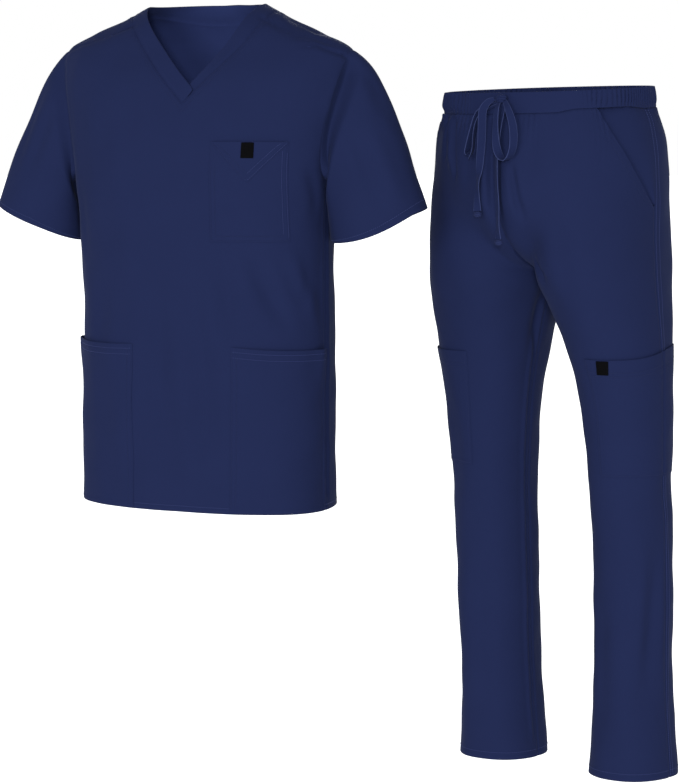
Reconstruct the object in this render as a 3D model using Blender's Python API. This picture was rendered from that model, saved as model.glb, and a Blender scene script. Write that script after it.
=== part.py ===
"""Medical scrubs: a V-neck top with set-in short sleeves and three patch pockets, and drawstring
trousers with slant pockets and cargo pockets, both filled out as on a wearer, with no wearer.

Metres, +Z up. The origin is the middle of the top's neck at the height of its shoulder points, and
the top faces -Y, so +X is its wearer's left. Each cut piece is a wall of cloth with its outer face
on a form that is lofted through horizontal sections. Neighbouring pieces share the points of their
seam and then part by SEAM_GAP.
"""

from collections import namedtuple

import bmesh
import bpy
import numpy as np

# Cloth
CLOTH = 0.0016  # wall of a panel
PATCH = 0.0012  # wall of a pocket, and of a label
BAND = 0.0020  # wall of the doubled neckband and waistband
SEAM_GAP = 0.0003
LIFT = 0.0009  # from a form to the patch that lies on it
MOST_MITRE = 1.5  # the most that a wall widens where two pieces meet at an edge

NAVY = (0.018, 0.026, 0.089, 1.0)
BLACK = (0.006, 0.006, 0.007, 1.0)

# Top
HEM_Z = -0.727  # the top's length from the shoulder point
UNDERARM_Z = -0.250
TIP_Z = -0.062  # the shoulder seam's outer end
SIDE_SEAM_Y = -0.022
ARMHOLE_FRONT, ARMHOLE_BACK = 0.040, 0.056  # how far it reaches before and behind its middle
NECK_SEAM_Z = -0.0105  # the neckband's seam at the shoulder, the point of the V and the back
V_SEAM_Z = -0.138
BACK_SEAM_Z = -0.026
NECK_Z = 0.0  # the same for the neckline, the band's free edge
V_Z = -0.112
V_X = 0.008  # the neckline's point is this far to the wearer's left of the middle
BACK_NECK_Z = 0.003
V_CURVE, V_SAG = 1.35, 0.004  # how the neckline quickens towards the V, and sags on its way
OVERLAP_X = 0.0062  # how far the upper end of the neckband reaches across the V
TUCK = 0.0029  # how far the lower end lies under it
SLEEVE_INNER = (0.200, -0.345)  # x and z of the sleeve hem's inner end
SLEEVE_HALF_DEPTH = 0.060
SLEEVE_LEAVE_LEVEL = (0.060, 0.0, -0.095)  # how a sleeve leaves the armhole's front and back
SLEEVE_LEAVE_LOWER = (0.016, 0.0, -0.062)  # and its underarm
SLEEVE_ARRIVE = (0.150, 0.050)  # how it arrives at its hem there
Sleeve = namedtuple("Sleeve", "x z out down arrive bow")
# Each sleeve hem's outer end, how the sleeve leaves the shoulder and arrives at the hem, and how far
# the hem's front sags
SLEEVE_LEFT = Sleeve(0.333, -0.288, 0.150, -0.060, 0.230, 0.014)
SLEEVE_RIGHT = Sleeve(0.330, -0.288, 0.125, -0.058, 0.105, -0.001)

# How the top hangs
NECK_RIDE = (-0.008, 0.004)  # how far its left neck point is drawn in and up
HEM_RISE, HEM_SLANT = 0.0018, -0.020  # of the hem's middle, and for each metre to the left
SWAY_Z, SWAY_X = (-0.45, -0.34, -0.25, -0.15), (0.0012, -0.0010, -0.0030, 0.0)

# Trousers, in their own frame: the middle of the waist's upper edge
TROUSERS_AT = (0.474, 0.150, -0.122)
TROUSERS_TURN = np.radians(-20.5)
WAIST_RISE = (0.0015, 0.0030, 0.0045)  # of its middle, and then of its left side and its back
WAISTBAND = 0.030
GATHER_COLUMNS = 200  # two to a gather
GATHER_DEPTH = 0.0010
FLAT_FRONT = 0.085  # the waistband is flat this far to either side of the middle
TROUSER_HEM_Z = -1.004
CROTCH_Z = -0.262
RISE_CURVE_Z = -0.150  # where the rise seams start to curve under
SLANT_TOP_SHARE = 0.648  # how far round the front the slant pocket starts at the waist seam
SLANT_LOW_Z = -0.168  # and where it meets the side seam
SLANT_CURVE = 0.8
FACING_UNDER = 0.055  # how far the facing reaches under the mouth, as a share of the front
FACING_DROP = 0.0029
CARGO_TOP_Z, CARGO_BOTTOM_Z = -0.383, -0.556
CARGO_RISE = 0.016  # how much higher the mouth is at the back
CARGO_TURNS = (-0.265, 0.125)  # where it starts and ends round the leg
CARGO_GAPE = 0.0022
CARGO_LABEL_TURNS = (-0.231, -0.190)

# Labels
LABEL_X, LABEL_HALF, LABEL_DEPTH = 0.101, 0.0085, 0.0225  # the chest's middle, and both their sizes
LABEL_LIFT = 0.0009  # from the cloth under it

# Drawstring, a flat tape
TAPE = 0.0014
KNOT_AT = (0.0095, -0.1313, -0.0080)
KNOT_HALF = (0.0092, 0.0052, 0.0064)
END_LEFT = (-0.0294, -0.1418, -0.1750)
END_RIGHT = (0.0079, -0.1410, -0.2150)
END_HALF = (0.0062, 0.0040, 0.0042)

Section = namedtuple("Section", "z centre half front back ridge square")

# Heights, the middle and half width, the y of the front, back and side, and the section's squareness
TORSO = [
    Section(HEM_Z, 0, 0.1885, -0.126, 0.128, 0.000, 2.5),
    Section(-0.600, 0, 0.1875, -0.124, 0.126, 0.000, 2.5),
    Section(-0.450, 0, 0.1870, -0.122, 0.122, 0.000, 2.4),
    Section(-0.340, 0, 0.1890, -0.123, 0.122, 0.000, 2.4),
    Section(-0.250, 0, 0.1950, -0.122, 0.123, 0.000, 2.4),
    Section(-0.190, 0, 0.2070, -0.118, 0.123, 0.002, 2.3),
    Section(-0.140, 0, 0.2180, -0.109, 0.120, 0.004, 2.2),
    Section(-0.098, 0, 0.2230, -0.096, 0.113, 0.006, 2.1),
    Section(TIP_Z, 0, 0.2180, -0.076, 0.103, 0.008, 2.0),
    Section(-0.040, 0, 0.1770, -0.065, 0.096, 0.009, 2.0),
    Section(-0.020, 0, 0.1335, -0.052, 0.088, 0.010, 2.0),
    Section(0.000, 0, 0.0925, -0.036, 0.080, 0.010, 2.0),
    Section(0.015, 0, 0.0700, -0.026, 0.076, 0.010, 2.0),
]
HIP = [
    Section(0.020, 0, 0.1550, -0.122, 0.126, 0.008, 2.2),
    Section(0.000, 0, 0.1560, -0.124, 0.128, 0.008, 2.2),
    Section(-0.028, 0, 0.1580, -0.126, 0.131, 0.010, 2.2),
    Section(-0.050, 0, 0.1670, -0.130, 0.136, 0.012, 2.2),
    Section(-0.090, 0, 0.1760, -0.133, 0.143, 0.014, 2.2),
    Section(-0.160, 0, 0.1810, -0.137, 0.150, 0.015, 2.2),
    Section(-0.220, 0, 0.1820, -0.135, 0.150, 0.014, 2.2),
    Section(-0.280, 0, 0.1825, -0.130, 0.146, 0.014, 2.2),
]
LEG = [
    Section(-0.140, 0.0915, 0.0910, -0.128, 0.146, 0.014, 2.2),
    Section(-0.210, 0.0915, 0.0910, -0.122, 0.144, 0.014, 2.2),
    Section(CROTCH_Z, 0.0920, 0.0915, -0.111, 0.132, 0.014, 2.2),
    Section(-0.305, 0.1000, 0.0845, -0.094, 0.122, 0.016, 2.2),
    Section(-0.360, 0.1090, 0.0770, -0.073, 0.112, 0.020, 2.1),
    Section(-0.450, 0.1170, 0.0660, -0.046, 0.105, 0.028, 2.1),
    Section(-0.578, 0.1180, 0.0585, -0.029, 0.105, 0.037, 2.1),
    Section(-0.700, 0.1160, 0.0550, -0.020, 0.106, 0.042, 2.1),
    Section(-0.880, 0.1130, 0.0550, -0.017, 0.109, 0.046, 2.1),
    Section(-0.995, 0.1120, 0.0600, -0.020, 0.118, 0.049, 2.1),
    Section(-1.050, 0.1115, 0.0630, -0.022, 0.122, 0.050, 2.1),
]

Lean = namedtuple("Lean", "z right_out right_in left_in left_out")

# The stance: how far the cloth at each height is moved to the wearer's left, at four places across
STANCE = [
    Lean(-1.050, 0.005, 0.012, 0.0170, 0.020),
    Lean(-0.950, 0.004, 0.010, 0.0150, 0.020),
    Lean(-0.820, -0.002, 0.009, 0.0154, 0.017),
    Lean(-0.750, -0.005, 0.009, 0.0147, 0.017),
    Lean(-0.630, -0.002, 0.007, 0.0112, 0.012),
    Lean(-0.570, 0.001, 0.006, 0.0098, 0.006),
    Lean(-0.390, 0.002, 0.010, 0.0100, 0.002),
    Lean(CROTCH_Z, 0.000, 0.007, 0.0065, -0.002),
    Lean(-0.190, 0.000, 0.004, 0.0040, -0.004),
    Lean(-0.120, 0.000, 0.001, 0.0010, -0.002),
    Lean(-0.060, 0.000, 0.000, 0.0000, 0.000),
    Lean(0.020, 0.000, 0.000, 0.0000, 0.000),
]
STANCE_X = (-0.16, -0.05, 0.05, 0.16)  # the four places

Fold = namedtuple("Fold", "turn low high width depth")

# Broad soft folds: where round the form (0 is the wearer's left, -0.25 the front), from what height
# to what height, how wide, and how far the cloth stands out or, below zero, in
TORSO_FOLDS = [
    Fold(-0.205, -0.700, -0.330, 0.030, -0.0045),
    Fold(-0.160, -0.760, -0.360, 0.036, 0.0040),
    Fold(-0.300, -0.760, -0.400, 0.045, 0.0030),
    Fold(-0.370, -0.760, -0.300, 0.030, -0.0035),
    Fold(0.150, -0.760, -0.300, 0.040, 0.0045),
    Fold(0.215, -0.780, -0.240, 0.035, -0.0050),
    Fold(0.290, -0.760, -0.260, 0.035, -0.0045),
    Fold(0.350, -0.760, -0.330, 0.040, 0.0045),
]
LEG_FOLDS = [
    Fold(-0.200, -1.020, -0.640, 0.020, 0.0040),
    Fold(-0.120, -1.020, -0.560, 0.022, -0.0040),
    Fold(0.170, -1.020, -0.500, 0.022, -0.0045),
    Fold(0.300, -1.020, -0.560, 0.020, 0.0040),
]


def unit(vectors):
    return vectors / np.maximum(np.linalg.norm(vectors, axis=-1, keepdims=True), 1e-12)


def ease(t):
    t = np.clip(t, 0.0, 1.0)
    return t * t * (3.0 - 2.0 * t)


def smooth(rows, steps=40):
    """A Catmull-Rom curve through the rows, column by column."""
    rows = np.array(rows, float)
    p = np.vstack([2 * rows[0] - rows[1], rows, 2 * rows[-1] - rows[-2]])
    s = np.arange(steps)[:, None] / steps
    spans = [
        0.5
        * (
            2 * p[i]
            + (p[i + 1] - p[i - 1]) * s
            + (2 * p[i - 1] - 5 * p[i] + 4 * p[i + 1] - p[i + 2]) * s**2
            + (3 * p[i] - p[i - 1] - 3 * p[i + 1] + p[i + 2]) * s**3
        )
        for i in range(1, len(p) - 2)
    ]
    return np.vstack([*spans, rows[-1:]])


class Form:
    """A hollow shape lofted through sections. An angle of 0 is its left side and -90 degrees its front."""

    def __init__(self, sections, folds=()):
        table = smooth(sections)
        self.table = table[np.argsort(table[:, 0])]
        self.folds = folds

    def at(self, z):
        """The section at each height."""
        z = np.asarray(z, float)
        return Section(z, *(np.interp(z, self.table[:, 0], self.table[:, k]) for k in range(1, 7)))

    def folded(self, angle, z):
        """How far the folds move the surface outwards."""
        out = np.zeros(np.broadcast(angle, z).shape)
        for f in self.folds:
            away = (angle / (2 * np.pi) - f.turn + 0.5) % 1.0 - 0.5
            girth = 2 * np.pi * self.at(z).half
            along = np.sin(np.pi * np.clip((z - f.low) / (f.high - f.low), 0, 1)) ** 2
            out = out + f.depth * along * np.exp(-((away * girth / f.width) ** 2))
        return out

    def point(self, angle, z):
        """The surface's points at angles round its sections."""
        angle, z = np.broadcast_arrays(np.asarray(angle, float), np.asarray(z, float))
        s = self.at(z)
        depth = np.where(np.sin(angle) < 0, s.ridge - s.front, s.back - s.ridge)
        reach = (
            np.abs(np.cos(angle) / s.half) ** s.square + np.abs(np.sin(angle) / depth) ** s.square
        ) ** (-1 / s.square)
        reach = reach + self.folded(angle, z)
        return np.stack([s.centre + reach * np.cos(angle), s.ridge + reach * np.sin(angle), z], -1)

    def angle_at_x(self, x, z, side):
        """The angle where the front (side -1) or back (side 1) has this x."""
        s = self.at(z)
        depth = s.ridge - s.front if side < 0 else s.back - s.ridge
        across = np.clip(np.abs((x - s.centre) / s.half), 0, 1)
        return np.arctan2(side * depth * (1 - across**s.square) ** (1 / s.square), x - s.centre)

    def angle_at_y(self, y, z):
        """The angle on the left side where the surface has this y."""
        s = self.at(z)
        depth = np.where(y < s.ridge, s.ridge - s.front, s.back - s.ridge)
        across = np.clip(np.abs((y - s.ridge) / depth), 0, 1)
        return np.arctan2(y - s.ridge, s.half * (1 - across**s.square) ** (1 / s.square))


HIP_FOLDS = [
    Fold(-0.250, -0.270, -0.020, 0.014, -0.0040),
    Fold(-0.222, -0.250, -0.060, 0.020, 0.0030),
]

Strand = namedtuple("Strand", "x y z width turn")

# The drawstring's middle line, its width, and how far its face is turned from the front
TAIL_LEFT = [
    Strand(-0.0007, -0.1338, -0.0078, 0.0060, 10),
    Strand(-0.0090, -0.1378, -0.0125, 0.0100, 5),
    Strand(-0.0175, -0.1390, -0.0235, 0.0120, 8),
    Strand(-0.0207, -0.1385, -0.0400, 0.0120, 6),
    Strand(-0.0216, -0.1395, -0.0687, 0.0120, -6),
    Strand(-0.0233, -0.1425, -0.1047, 0.0118, -30),
    Strand(-0.0262, -0.1430, -0.1260, 0.0108, -62),
    Strand(-0.0290, -0.1425, -0.1480, 0.0108, -30),
    Strand(-0.0294, -0.1420, -0.1700, 0.0115, -8),
]
TAIL_RIGHT = [
    Strand(0.0112, -0.1318, -0.0152, 0.0055, 0),
    Strand(0.0150, -0.1335, -0.0256, 0.0100, -4),
    Strand(0.0135, -0.1365, -0.0450, 0.0120, -4),
    Strand(0.0118, -0.1375, -0.0687, 0.0120, 4),
    Strand(0.0088, -0.1390, -0.0975, 0.0120, 12),
    Strand(0.0086, -0.1405, -0.1300, 0.0118, 24),
    Strand(0.0086, -0.1420, -0.1600, 0.0115, 36),
    Strand(0.0082, -0.1425, -0.1900, 0.0112, 24),
    Strand(0.0079, -0.1415, -0.2100, 0.0115, 8),
]
LOOP_LEFT = [
    Strand(0.0014, -0.1306, -0.0134, 0.0045, 60),
    Strand(-0.0140, -0.1315, -0.0180, 0.0055, 66),
    Strand(-0.0300, -0.1345, -0.0285, 0.0085, 75),
    Strand(-0.0385, -0.1385, -0.0520, 0.0110, 80),
    Strand(-0.0450, -0.1405, -0.0760, 0.0115, 85),
    Strand(-0.0462, -0.1410, -0.0840, 0.0115, 88),
    Strand(-0.0425, -0.1412, -0.0885, 0.0115, 90),
    Strand(-0.0365, -0.1412, -0.0870, 0.0115, 90),
    Strand(-0.0325, -0.1408, -0.0770, 0.0115, 86),
    Strand(-0.0318, -0.1400, -0.0600, 0.0105, 80),
    Strand(-0.0300, -0.1362, -0.0420, 0.0080, 78),
    Strand(-0.0225, -0.1325, -0.0290, 0.0055, 74),
    Strand(-0.0100, -0.1312, -0.0215, 0.0045, 70),
    Strand(0.0048, -0.1306, -0.0160, 0.0045, 60),
]
LOOP_RIGHT = [
    Strand(0.0088, -0.1358, -0.0138, 0.0060, 0),
    Strand(0.0078, -0.1430, -0.0245, 0.0095, 10),
    Strand(0.0060, -0.1460, -0.0470, 0.0110, 28),
    Strand(0.0068, -0.1470, -0.0687, 0.0115, 52),
    Strand(0.0118, -0.1472, -0.0860, 0.0118, 76),
    Strand(0.0205, -0.1472, -0.0945, 0.0120, 90),
    Strand(0.0300, -0.1470, -0.0895, 0.0120, 76),
    Strand(0.0362, -0.1462, -0.0730, 0.0120, 48),
    Strand(0.0345, -0.1440, -0.0470, 0.0115, 24),
    Strand(0.0262, -0.1410, -0.0240, 0.0095, 8),
    Strand(0.0182, -0.1342, -0.0112, 0.0060, 10),
]

TORSO_FORM = Form(TORSO, TORSO_FOLDS)
HIP_FORM = Form(HIP, HIP_FOLDS)
LEG_FORM = Form(LEG, LEG_FOLDS)


class Cloth:
    """One cut piece: a grid of points on its outer face. Its columns run counterclockwise seen from
    above and its rows run upwards, so that column cross row points outwards."""

    def __init__(self, points, wraps=False):
        self.points = np.array(points, float)
        self.wraps = wraps
        if wraps:
            along = np.roll(self.points, -1, 1) - np.roll(self.points, 1, 1)
        else:
            along = np.gradient(self.points, axis=1)
        self.outward = unit(np.cross(along, np.gradient(self.points, axis=0)))
        self.normal = self.outward.copy()
        self.shift = np.zeros_like(self.points)

    def column(self, k, start=0, stop=None):
        """An edge: the rows and columns of its points, and the step from it into the piece."""
        rows = np.arange(len(self.points))[start:stop]
        return rows, np.full(len(rows), k), 0, 1 if k == 0 else -1

    def row(self, k, columns):
        return np.full(len(columns), k), np.array(columns), 1 if k == 0 else -1, 0

    def into(self, edge):
        rows, columns, up, across = edge
        columns = columns % self.points.shape[1]
        return unit(self.points[rows + up, columns + across] - self.points[rows, columns])


def mirrored(cloth):
    """The same piece for the wearer's other side."""
    points = cloth.points[:, ::-1] * (-1, 1, 1)
    return Cloth(points, cloth.wraps)


def close_seams(seams):
    """Each seam is (piece, edge, piece, edge), over the same points. The two pieces share a mitre,
    unless they meet in a valley, and part by SEAM_GAP."""

    def meeting(a, edge_a, b, edge_b):
        along = unit(np.gradient(a.points[edge_a[:2]], axis=0))
        square = lambda v: unit(v - (v * along).sum(-1, keepdims=True) * along)
        normal_a, normal_b = (square(p.normal[e[:2]]) for p, e in ((a, edge_a), (b, edge_b)))
        into_a, into_b = (square(p.into(e)) for p, e in ((a, edge_a), (b, edge_b)))
        hollow = (into_a * normal_b).sum(-1) + (into_b * normal_a).sum(-1)
        shut = (into_a * into_b).sum(-1)
        valley = (hollow > 0.25) | ((shut > 0.4) & (hollow > -0.3))
        faces = normal_a - normal_b
        faces *= np.where(valley, -1, np.sign(((into_a - into_b) * faces).sum(-1)))[:, None]
        return valley[:, None], square(into_a - into_b + faces)

    for _ in range(3):
        for a, edge_a, b, edge_b in seams:
            valley, _ = meeting(a, edge_a, b, edge_b)
            out_a, out_b = a.outward[edge_a[:2]], b.outward[edge_b[:2]]
            mitre = unit(out_a + out_b)
            a.outward[edge_a[:2]] = np.where(valley, out_a, mitre)
            b.outward[edge_b[:2]] = np.where(valley, out_b, mitre)
    for a, edge_a, b, edge_b in seams:
        _, apart = meeting(a, edge_a, b, edge_b)
        a.shift[edge_a[:2]] += apart * SEAM_GAP / 2
        b.shift[edge_b[:2]] -= apart * SEAM_GAP / 2


def material(name, colour, roughness):
    found = bpy.data.materials.get(name)
    if found:
        return found
    made = bpy.data.materials.new(name)
    made.use_nodes = True
    shader = made.node_tree.nodes["Principled BSDF"]
    shader.inputs["Base Color"].default_value = colour
    shader.inputs["Roughness"].default_value = roughness
    shader.inputs["Metallic"].default_value = 0.0
    return made


def navy():
    return material("navy_cloth", NAVY, 0.85)


def black():
    return material("black_label", BLACK, 0.7)


def solid(name, vertices, faces, finish):
    """An object from a closed mesh's vertices and faces."""
    mesh = bpy.data.meshes.new(name)
    mesh.from_pydata([tuple(v) for v in vertices], [], faces)
    mesh.validate()
    mesh.materials.append(finish)
    mesh.shade_smooth()
    mesh.set_sharp_from_angle(angle=np.radians(35))
    obj = bpy.data.objects.new(name, mesh)
    bpy.context.scene.collection.objects.link(obj)
    return obj


def wall(name, cloth, thickness, finish, inner=None):
    """The solid of a piece: its outer face, its inner face and the rims between them."""
    outer = cloth.points + cloth.shift
    if inner is None:
        lean = (cloth.outward * cloth.normal).sum(-1, keepdims=True)
        inner = outer - cloth.outward * thickness / np.maximum(lean, 1 / MOST_MITRE)
    rows, columns = outer.shape[:2]
    number = np.arange(rows * columns).reshape(rows, columns)
    out, back = number, number + rows * columns
    if cloth.wraps:
        out, back = (np.hstack([n, n[:, :1]]) for n in (out, back))
    vertices = np.vstack([outer.reshape(-1, 3), inner.reshape(-1, 3)])
    faces = []

    def split(*quad):
        """Two triangles over the shorter diagonal, so that mirrored pieces are cut alike."""
        a, b, c, d = (vertices[i] for i in quad)
        if np.linalg.norm(a - c) < np.linalg.norm(b - d) + 1e-7:
            return [(quad[0], quad[1], quad[2]), (quad[0], quad[2], quad[3])]
        return [(quad[0], quad[1], quad[3]), (quad[1], quad[2], quad[3])]

    for r in range(rows - 1):
        for c in range(out.shape[1] - 1):
            faces += split(out[r, c], out[r, c + 1], out[r + 1, c + 1], out[r + 1, c])
            faces += split(back[r, c], back[r + 1, c], back[r + 1, c + 1], back[r, c + 1])
    for c in range(out.shape[1] - 1):
        faces.append((back[0, c], back[0, c + 1], out[0, c + 1], out[0, c]))
        faces.append((out[-1, c], out[-1, c + 1], back[-1, c + 1], back[-1, c]))
    if not cloth.wraps:
        for r in range(rows - 1):
            faces.append((out[r, 0], out[r + 1, 0], back[r + 1, 0], back[r, 0]))
            faces.append((back[r, -1], back[r + 1, -1], out[r + 1, -1], out[r, -1]))
    return solid(name, vertices, [tuple(int(i) for i in f) for f in faces], finish)


def patch(points, lift):
    """A piece that lies on a form: the form's points, moved out by the lift and its own wall."""
    cloth = Cloth(points)
    cloth.points = cloth.points + cloth.normal * (np.asarray(lift)[..., None] + PATCH)
    return cloth


def hung(points):
    """The top's points as it hangs: its left shoulder rides up to the neck, and its hem slants."""
    x, y, z = points.T
    neck = ease((z - TIP_Z) / 0.05) * np.clip(x / 0.09, 0, 1)
    hem = ease((-0.45 - z) / 0.25) * (HEM_RISE + HEM_SLANT * x)
    body = np.clip((0.24 - np.abs(x)) / 0.04, 0, 1)
    sway = np.interp(z, SWAY_Z, SWAY_X) * body
    return np.stack([x + sway + NECK_RIDE[0] * neck, y, z + NECK_RIDE[1] * neck + hem], -1)


def placed(points):
    """The trousers' points in their stance, turned and moved beside the top."""
    x, y, z = points.T
    table = smooth(STANCE)
    places = [np.interp(z, table[:, 0], table[:, k]) for k in range(1, 5)]
    lean = places[0]
    for k in range(1, 4):
        across = ease((x - STANCE_X[k - 1]) / (STANCE_X[k] - STANCE_X[k - 1]))
        lean = lean + (places[k] - places[k - 1]) * across
    waist = HIP_FORM.at(-WAISTBAND)
    tilt = WAIST_RISE[0] + WAIST_RISE[1] * x / waist.half + WAIST_RISE[2] * y / waist.back
    tilt = tilt * ease((z + 0.25) / 0.20)
    x = x + lean
    cos, sin = np.cos(TROUSERS_TURN), np.sin(TROUSERS_TURN)
    return np.stack([cos * x - sin * y, sin * x + cos * y, z + tilt], -1) + TROUSERS_AT


def move(objects, by):
    for obj in objects:
        points = by(np.array([vertex.co for vertex in obj.data.vertices]))
        for vertex, point in zip(obj.data.vertices, points):
            vertex.co = point
        obj.data.update()


# ---------------------------------------------------------------- the top

SIDE_ROWS, ARMHOLE_ROWS = 9, 9
SIDE_SHARE = 0.76  # how far up the middle the rows of the side seam reach
NECK_COLUMNS, SHOULDER_COLUMNS = 7, 5


def coons(bottom, top, left, right):
    """A grid that fills four edges, given as points of equal number on facing edges."""
    u = np.linspace(0, 1, len(bottom))[None, :, None]
    v = np.linspace(0, 1, len(left))[:, None, None] ** 2.5
    across = (1 - v) * bottom[None] + v * top[None] + (1 - u) * left[:, None] + u * right[:, None]
    corners = (
        (1 - u) * (1 - v) * bottom[0]
        + u * (1 - v) * bottom[-1]
        + (1 - u) * v * top[0]
        + u * v * top[-1]
    )
    return across - corners


def armhole(turn):
    """(angle, z) on the torso form of the armhole: turn 0 is the shoulder tip, pi the underarm, and
    the back comes first."""
    rise = (1 + np.cos(turn)) / 2
    z = UNDERARM_Z + (TIP_Z - UNDERARM_Z) * rise
    tip_y = TORSO_FORM.at(TIP_Z).ridge
    reach = np.where(np.sin(turn) < 0, ARMHOLE_FRONT, ARMHOLE_BACK)
    y = SIDE_SEAM_Y + (tip_y - SIDE_SEAM_Y) * rise + reach * np.sin(turn)
    return np.stack([TORSO_FORM.angle_at_y(y, z), z], -1)


def v_line(t, z, point_x, point_z, reach=0.0):
    """(angle, z) of the front's neck edges: t 0 is on the shoulder and 1 at the V, from where the
    line is carried on by the reach."""
    x = float(TORSO_FORM.at(z).half)
    across = x + (point_x - reach - x) * t**V_CURVE
    height = z + (point_z - z) / (x - point_x) * (x - across) - V_SAG * np.sin(np.pi * t)
    angle = np.where(t > 0, TORSO_FORM.angle_at_x(across, height, -1), 0.0)
    return np.stack([angle, height], -1)


def back_line(t, z, middle_z):
    """(angle, z) of the back's neck edges, from the shoulder to the middle of the back."""
    angle = np.pi / 2 * t
    return np.stack([angle, z + (middle_z - z) * ease(t * 1.15)], -1)


def shoulder_line(t):
    """(angle, z) of the shoulder seam, from the neckband's seam to the tip."""
    inner, outer = TORSO_FORM.at([NECK_SEAM_Z, TIP_Z]).half
    half = inner + (outer - inner) * t
    heights = np.linspace(TIP_Z, NECK_SEAM_Z, 60)
    z = np.interp(-half, -TORSO_FORM.at(heights).half, heights)
    z = np.where(t <= 0, NECK_SEAM_Z, np.where(t >= 1, TIP_Z, z))
    return np.stack([np.zeros_like(z), z], -1)


def body_half(side):
    """(angle, z) of the left half of the front (side -1) or back (side 1), from the middle outwards."""
    turn = np.pi + side * -np.linspace(0, np.pi, ARMHOLE_ROWS + 1)
    hole = armhole(turn)
    seam_z = np.linspace(HEM_Z, UNDERARM_Z, SIDE_ROWS + 1)
    seam = np.stack([TORSO_FORM.angle_at_y(SIDE_SEAM_Y, seam_z), seam_z], -1)
    outer = np.vstack([seam[:-1], hole])
    columns = NECK_COLUMNS + SHOULDER_COLUMNS
    low_angle = np.linspace(side * np.pi / 2, seam[0, 0], columns + 1)
    bottom = np.stack([low_angle, np.full(columns + 1, HEM_Z)], -1)
    t = np.linspace(1, 0, NECK_COLUMNS + 1)
    if side < 0:
        neck = v_line(t, NECK_SEAM_Z, 0.0, V_SEAM_Z)
    else:
        neck = back_line(t, NECK_SEAM_Z, BACK_SEAM_Z)
    top = np.vstack([neck, shoulder_line(np.linspace(0, 1, SHOULDER_COLUMNS + 1))[1:]])
    share = np.concatenate(
        [
            np.linspace(0, SIDE_SHARE, SIDE_ROWS + 1)[:-1],
            np.linspace(SIDE_SHARE, 1, ARMHOLE_ROWS + 1),
        ]
    )
    middle_z = HEM_Z + (top[0, 1] - HEM_Z) * share
    middle = np.stack([np.full(len(middle_z), side * np.pi / 2), middle_z], -1)
    return coons(bottom, top, middle, outer)


def body_panel(side):
    half = body_half(side)
    points = TORSO_FORM.point(half[..., 0], half[..., 1])
    if side > 0:
        points = points[:, ::-1]
        other = points[:, ::-1] * (-1, 1, 1)
        return Cloth(np.hstack([points, other[:, 1:]]))
    other = points[:, ::-1] * (-1, 1, 1)
    return Cloth(np.hstack([other, points[:, 1:]]))


def sleeve_point(turn, s, cut=SLEEVE_LEFT):
    """A sleeve, on the left side: s 0 at the armhole and 1 at the hem, turn as in armhole."""
    turn, s = np.broadcast_arrays(np.asarray(turn, float), np.asarray(s, float))
    hole = armhole(turn)
    start = TORSO_FORM.point(hole[..., 0], hole[..., 1])
    outer, inner = np.array([cut.x, cut.z]), np.array(SLEEVE_INNER)
    middle, reach = (outer + inner) / 2, (outer - inner) / 2
    ring = middle + reach * np.cos(turn)[..., None]
    depth = SLEEVE_HALF_DEPTH * np.sin(turn)
    end = np.stack([ring[..., 0], depth, ring[..., 1]], -1)
    down = unit(np.array([reach[1], 0, -reach[0]]))
    end = end + cut.bow * np.clip(-np.sin(turn), 0, 1)[..., None] ** 2 * down
    upper = np.clip(np.cos(turn), 0, 1)[..., None]
    lower = np.clip(-np.cos(turn), 0, 1)[..., None]
    level = 1 - upper - lower
    leave = (
        upper * np.array([cut.out, 0.0, cut.down])
        + level * np.array(SLEEVE_LEAVE_LEVEL)
        + lower * np.array(SLEEVE_LEAVE_LOWER)
    )
    arrive = down * (cut.arrive * upper + SLEEVE_ARRIVE[0] * level + SLEEVE_ARRIVE[1] * lower)
    s = s[..., None]
    return (
        (2 * s**3 - 3 * s**2 + 1) * start
        + (s**3 - 2 * s**2 + s) * leave
        + (3 * s**2 - 2 * s**3) * end
        + (s**3 - s**2) * arrive
    )


def sleeve(cut):
    turn = np.linspace(0, 2 * np.pi, 2 * ARMHOLE_ROWS, endpoint=False)
    s = np.linspace(1, 0, 9)
    return Cloth(sleeve_point(turn[None], s[:, None], cut), wraps=True)


def front_band(t, point_x, reach_over, tuck):
    """A front half of the neckband, on the left side: its seam row, a middle row and the neckline."""
    seam = v_line(t, NECK_SEAM_Z, 0.0, V_SEAM_Z)
    edge = v_line(t, NECK_Z, point_x, V_Z, reach_over)
    rows = [seam + (edge - seam) * share for share in (0.0, 0.5, 1.0)]
    grid = np.stack(rows)
    grid = grid[:, ::-1]
    cloth = Cloth(TORSO_FORM.point(grid[..., 0], grid[..., 1]))
    under = tuck * ease((t[::-1] - 0.50) / 0.30)
    cloth.points = cloth.points - cloth.normal * under[None, :, None]
    return cloth


def back_band(t):
    seam = back_line(t, NECK_SEAM_Z, BACK_SEAM_Z)
    edge = back_line(t, NECK_Z, BACK_NECK_Z)
    grid = np.stack([seam, (seam + edge) / 2, edge])
    points = TORSO_FORM.point(grid[..., 0], grid[..., 1])
    other = points[:, ::-1] * (-1, 1, 1)
    return Cloth(np.hstack([points, other[:, 1:]]))


def body_patch(x, z, lift):
    """A piece on the front of the torso, from the x and z of its points."""
    angle = TORSO_FORM.angle_at_x(x, z, -1)
    return patch(TORSO_FORM.point(angle, z), lift)


CHEST_POCKET = (0.048, 0.155, -0.336, -0.194)  # left, right, bottom and top
CHEST_POINT_Z = -0.250  # the point of the stitched-down facing
FACING_GAP = 0.0008  # from the pocket to the facing on it
LOWER_POCKET_X = 0.074
LOWER_POCKET_Z = -0.490
MOUTH_GAPE = 0.0024
CHEST_GAPE = 0.0010


def mouth_lift(across, height, gape=MOUTH_GAPE):
    """How far a pocket stands off: its mouth is slack between its sewn sides."""
    return LIFT + gape * np.sin(np.pi * across) * ease((height - 0.55) / 0.45)


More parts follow.
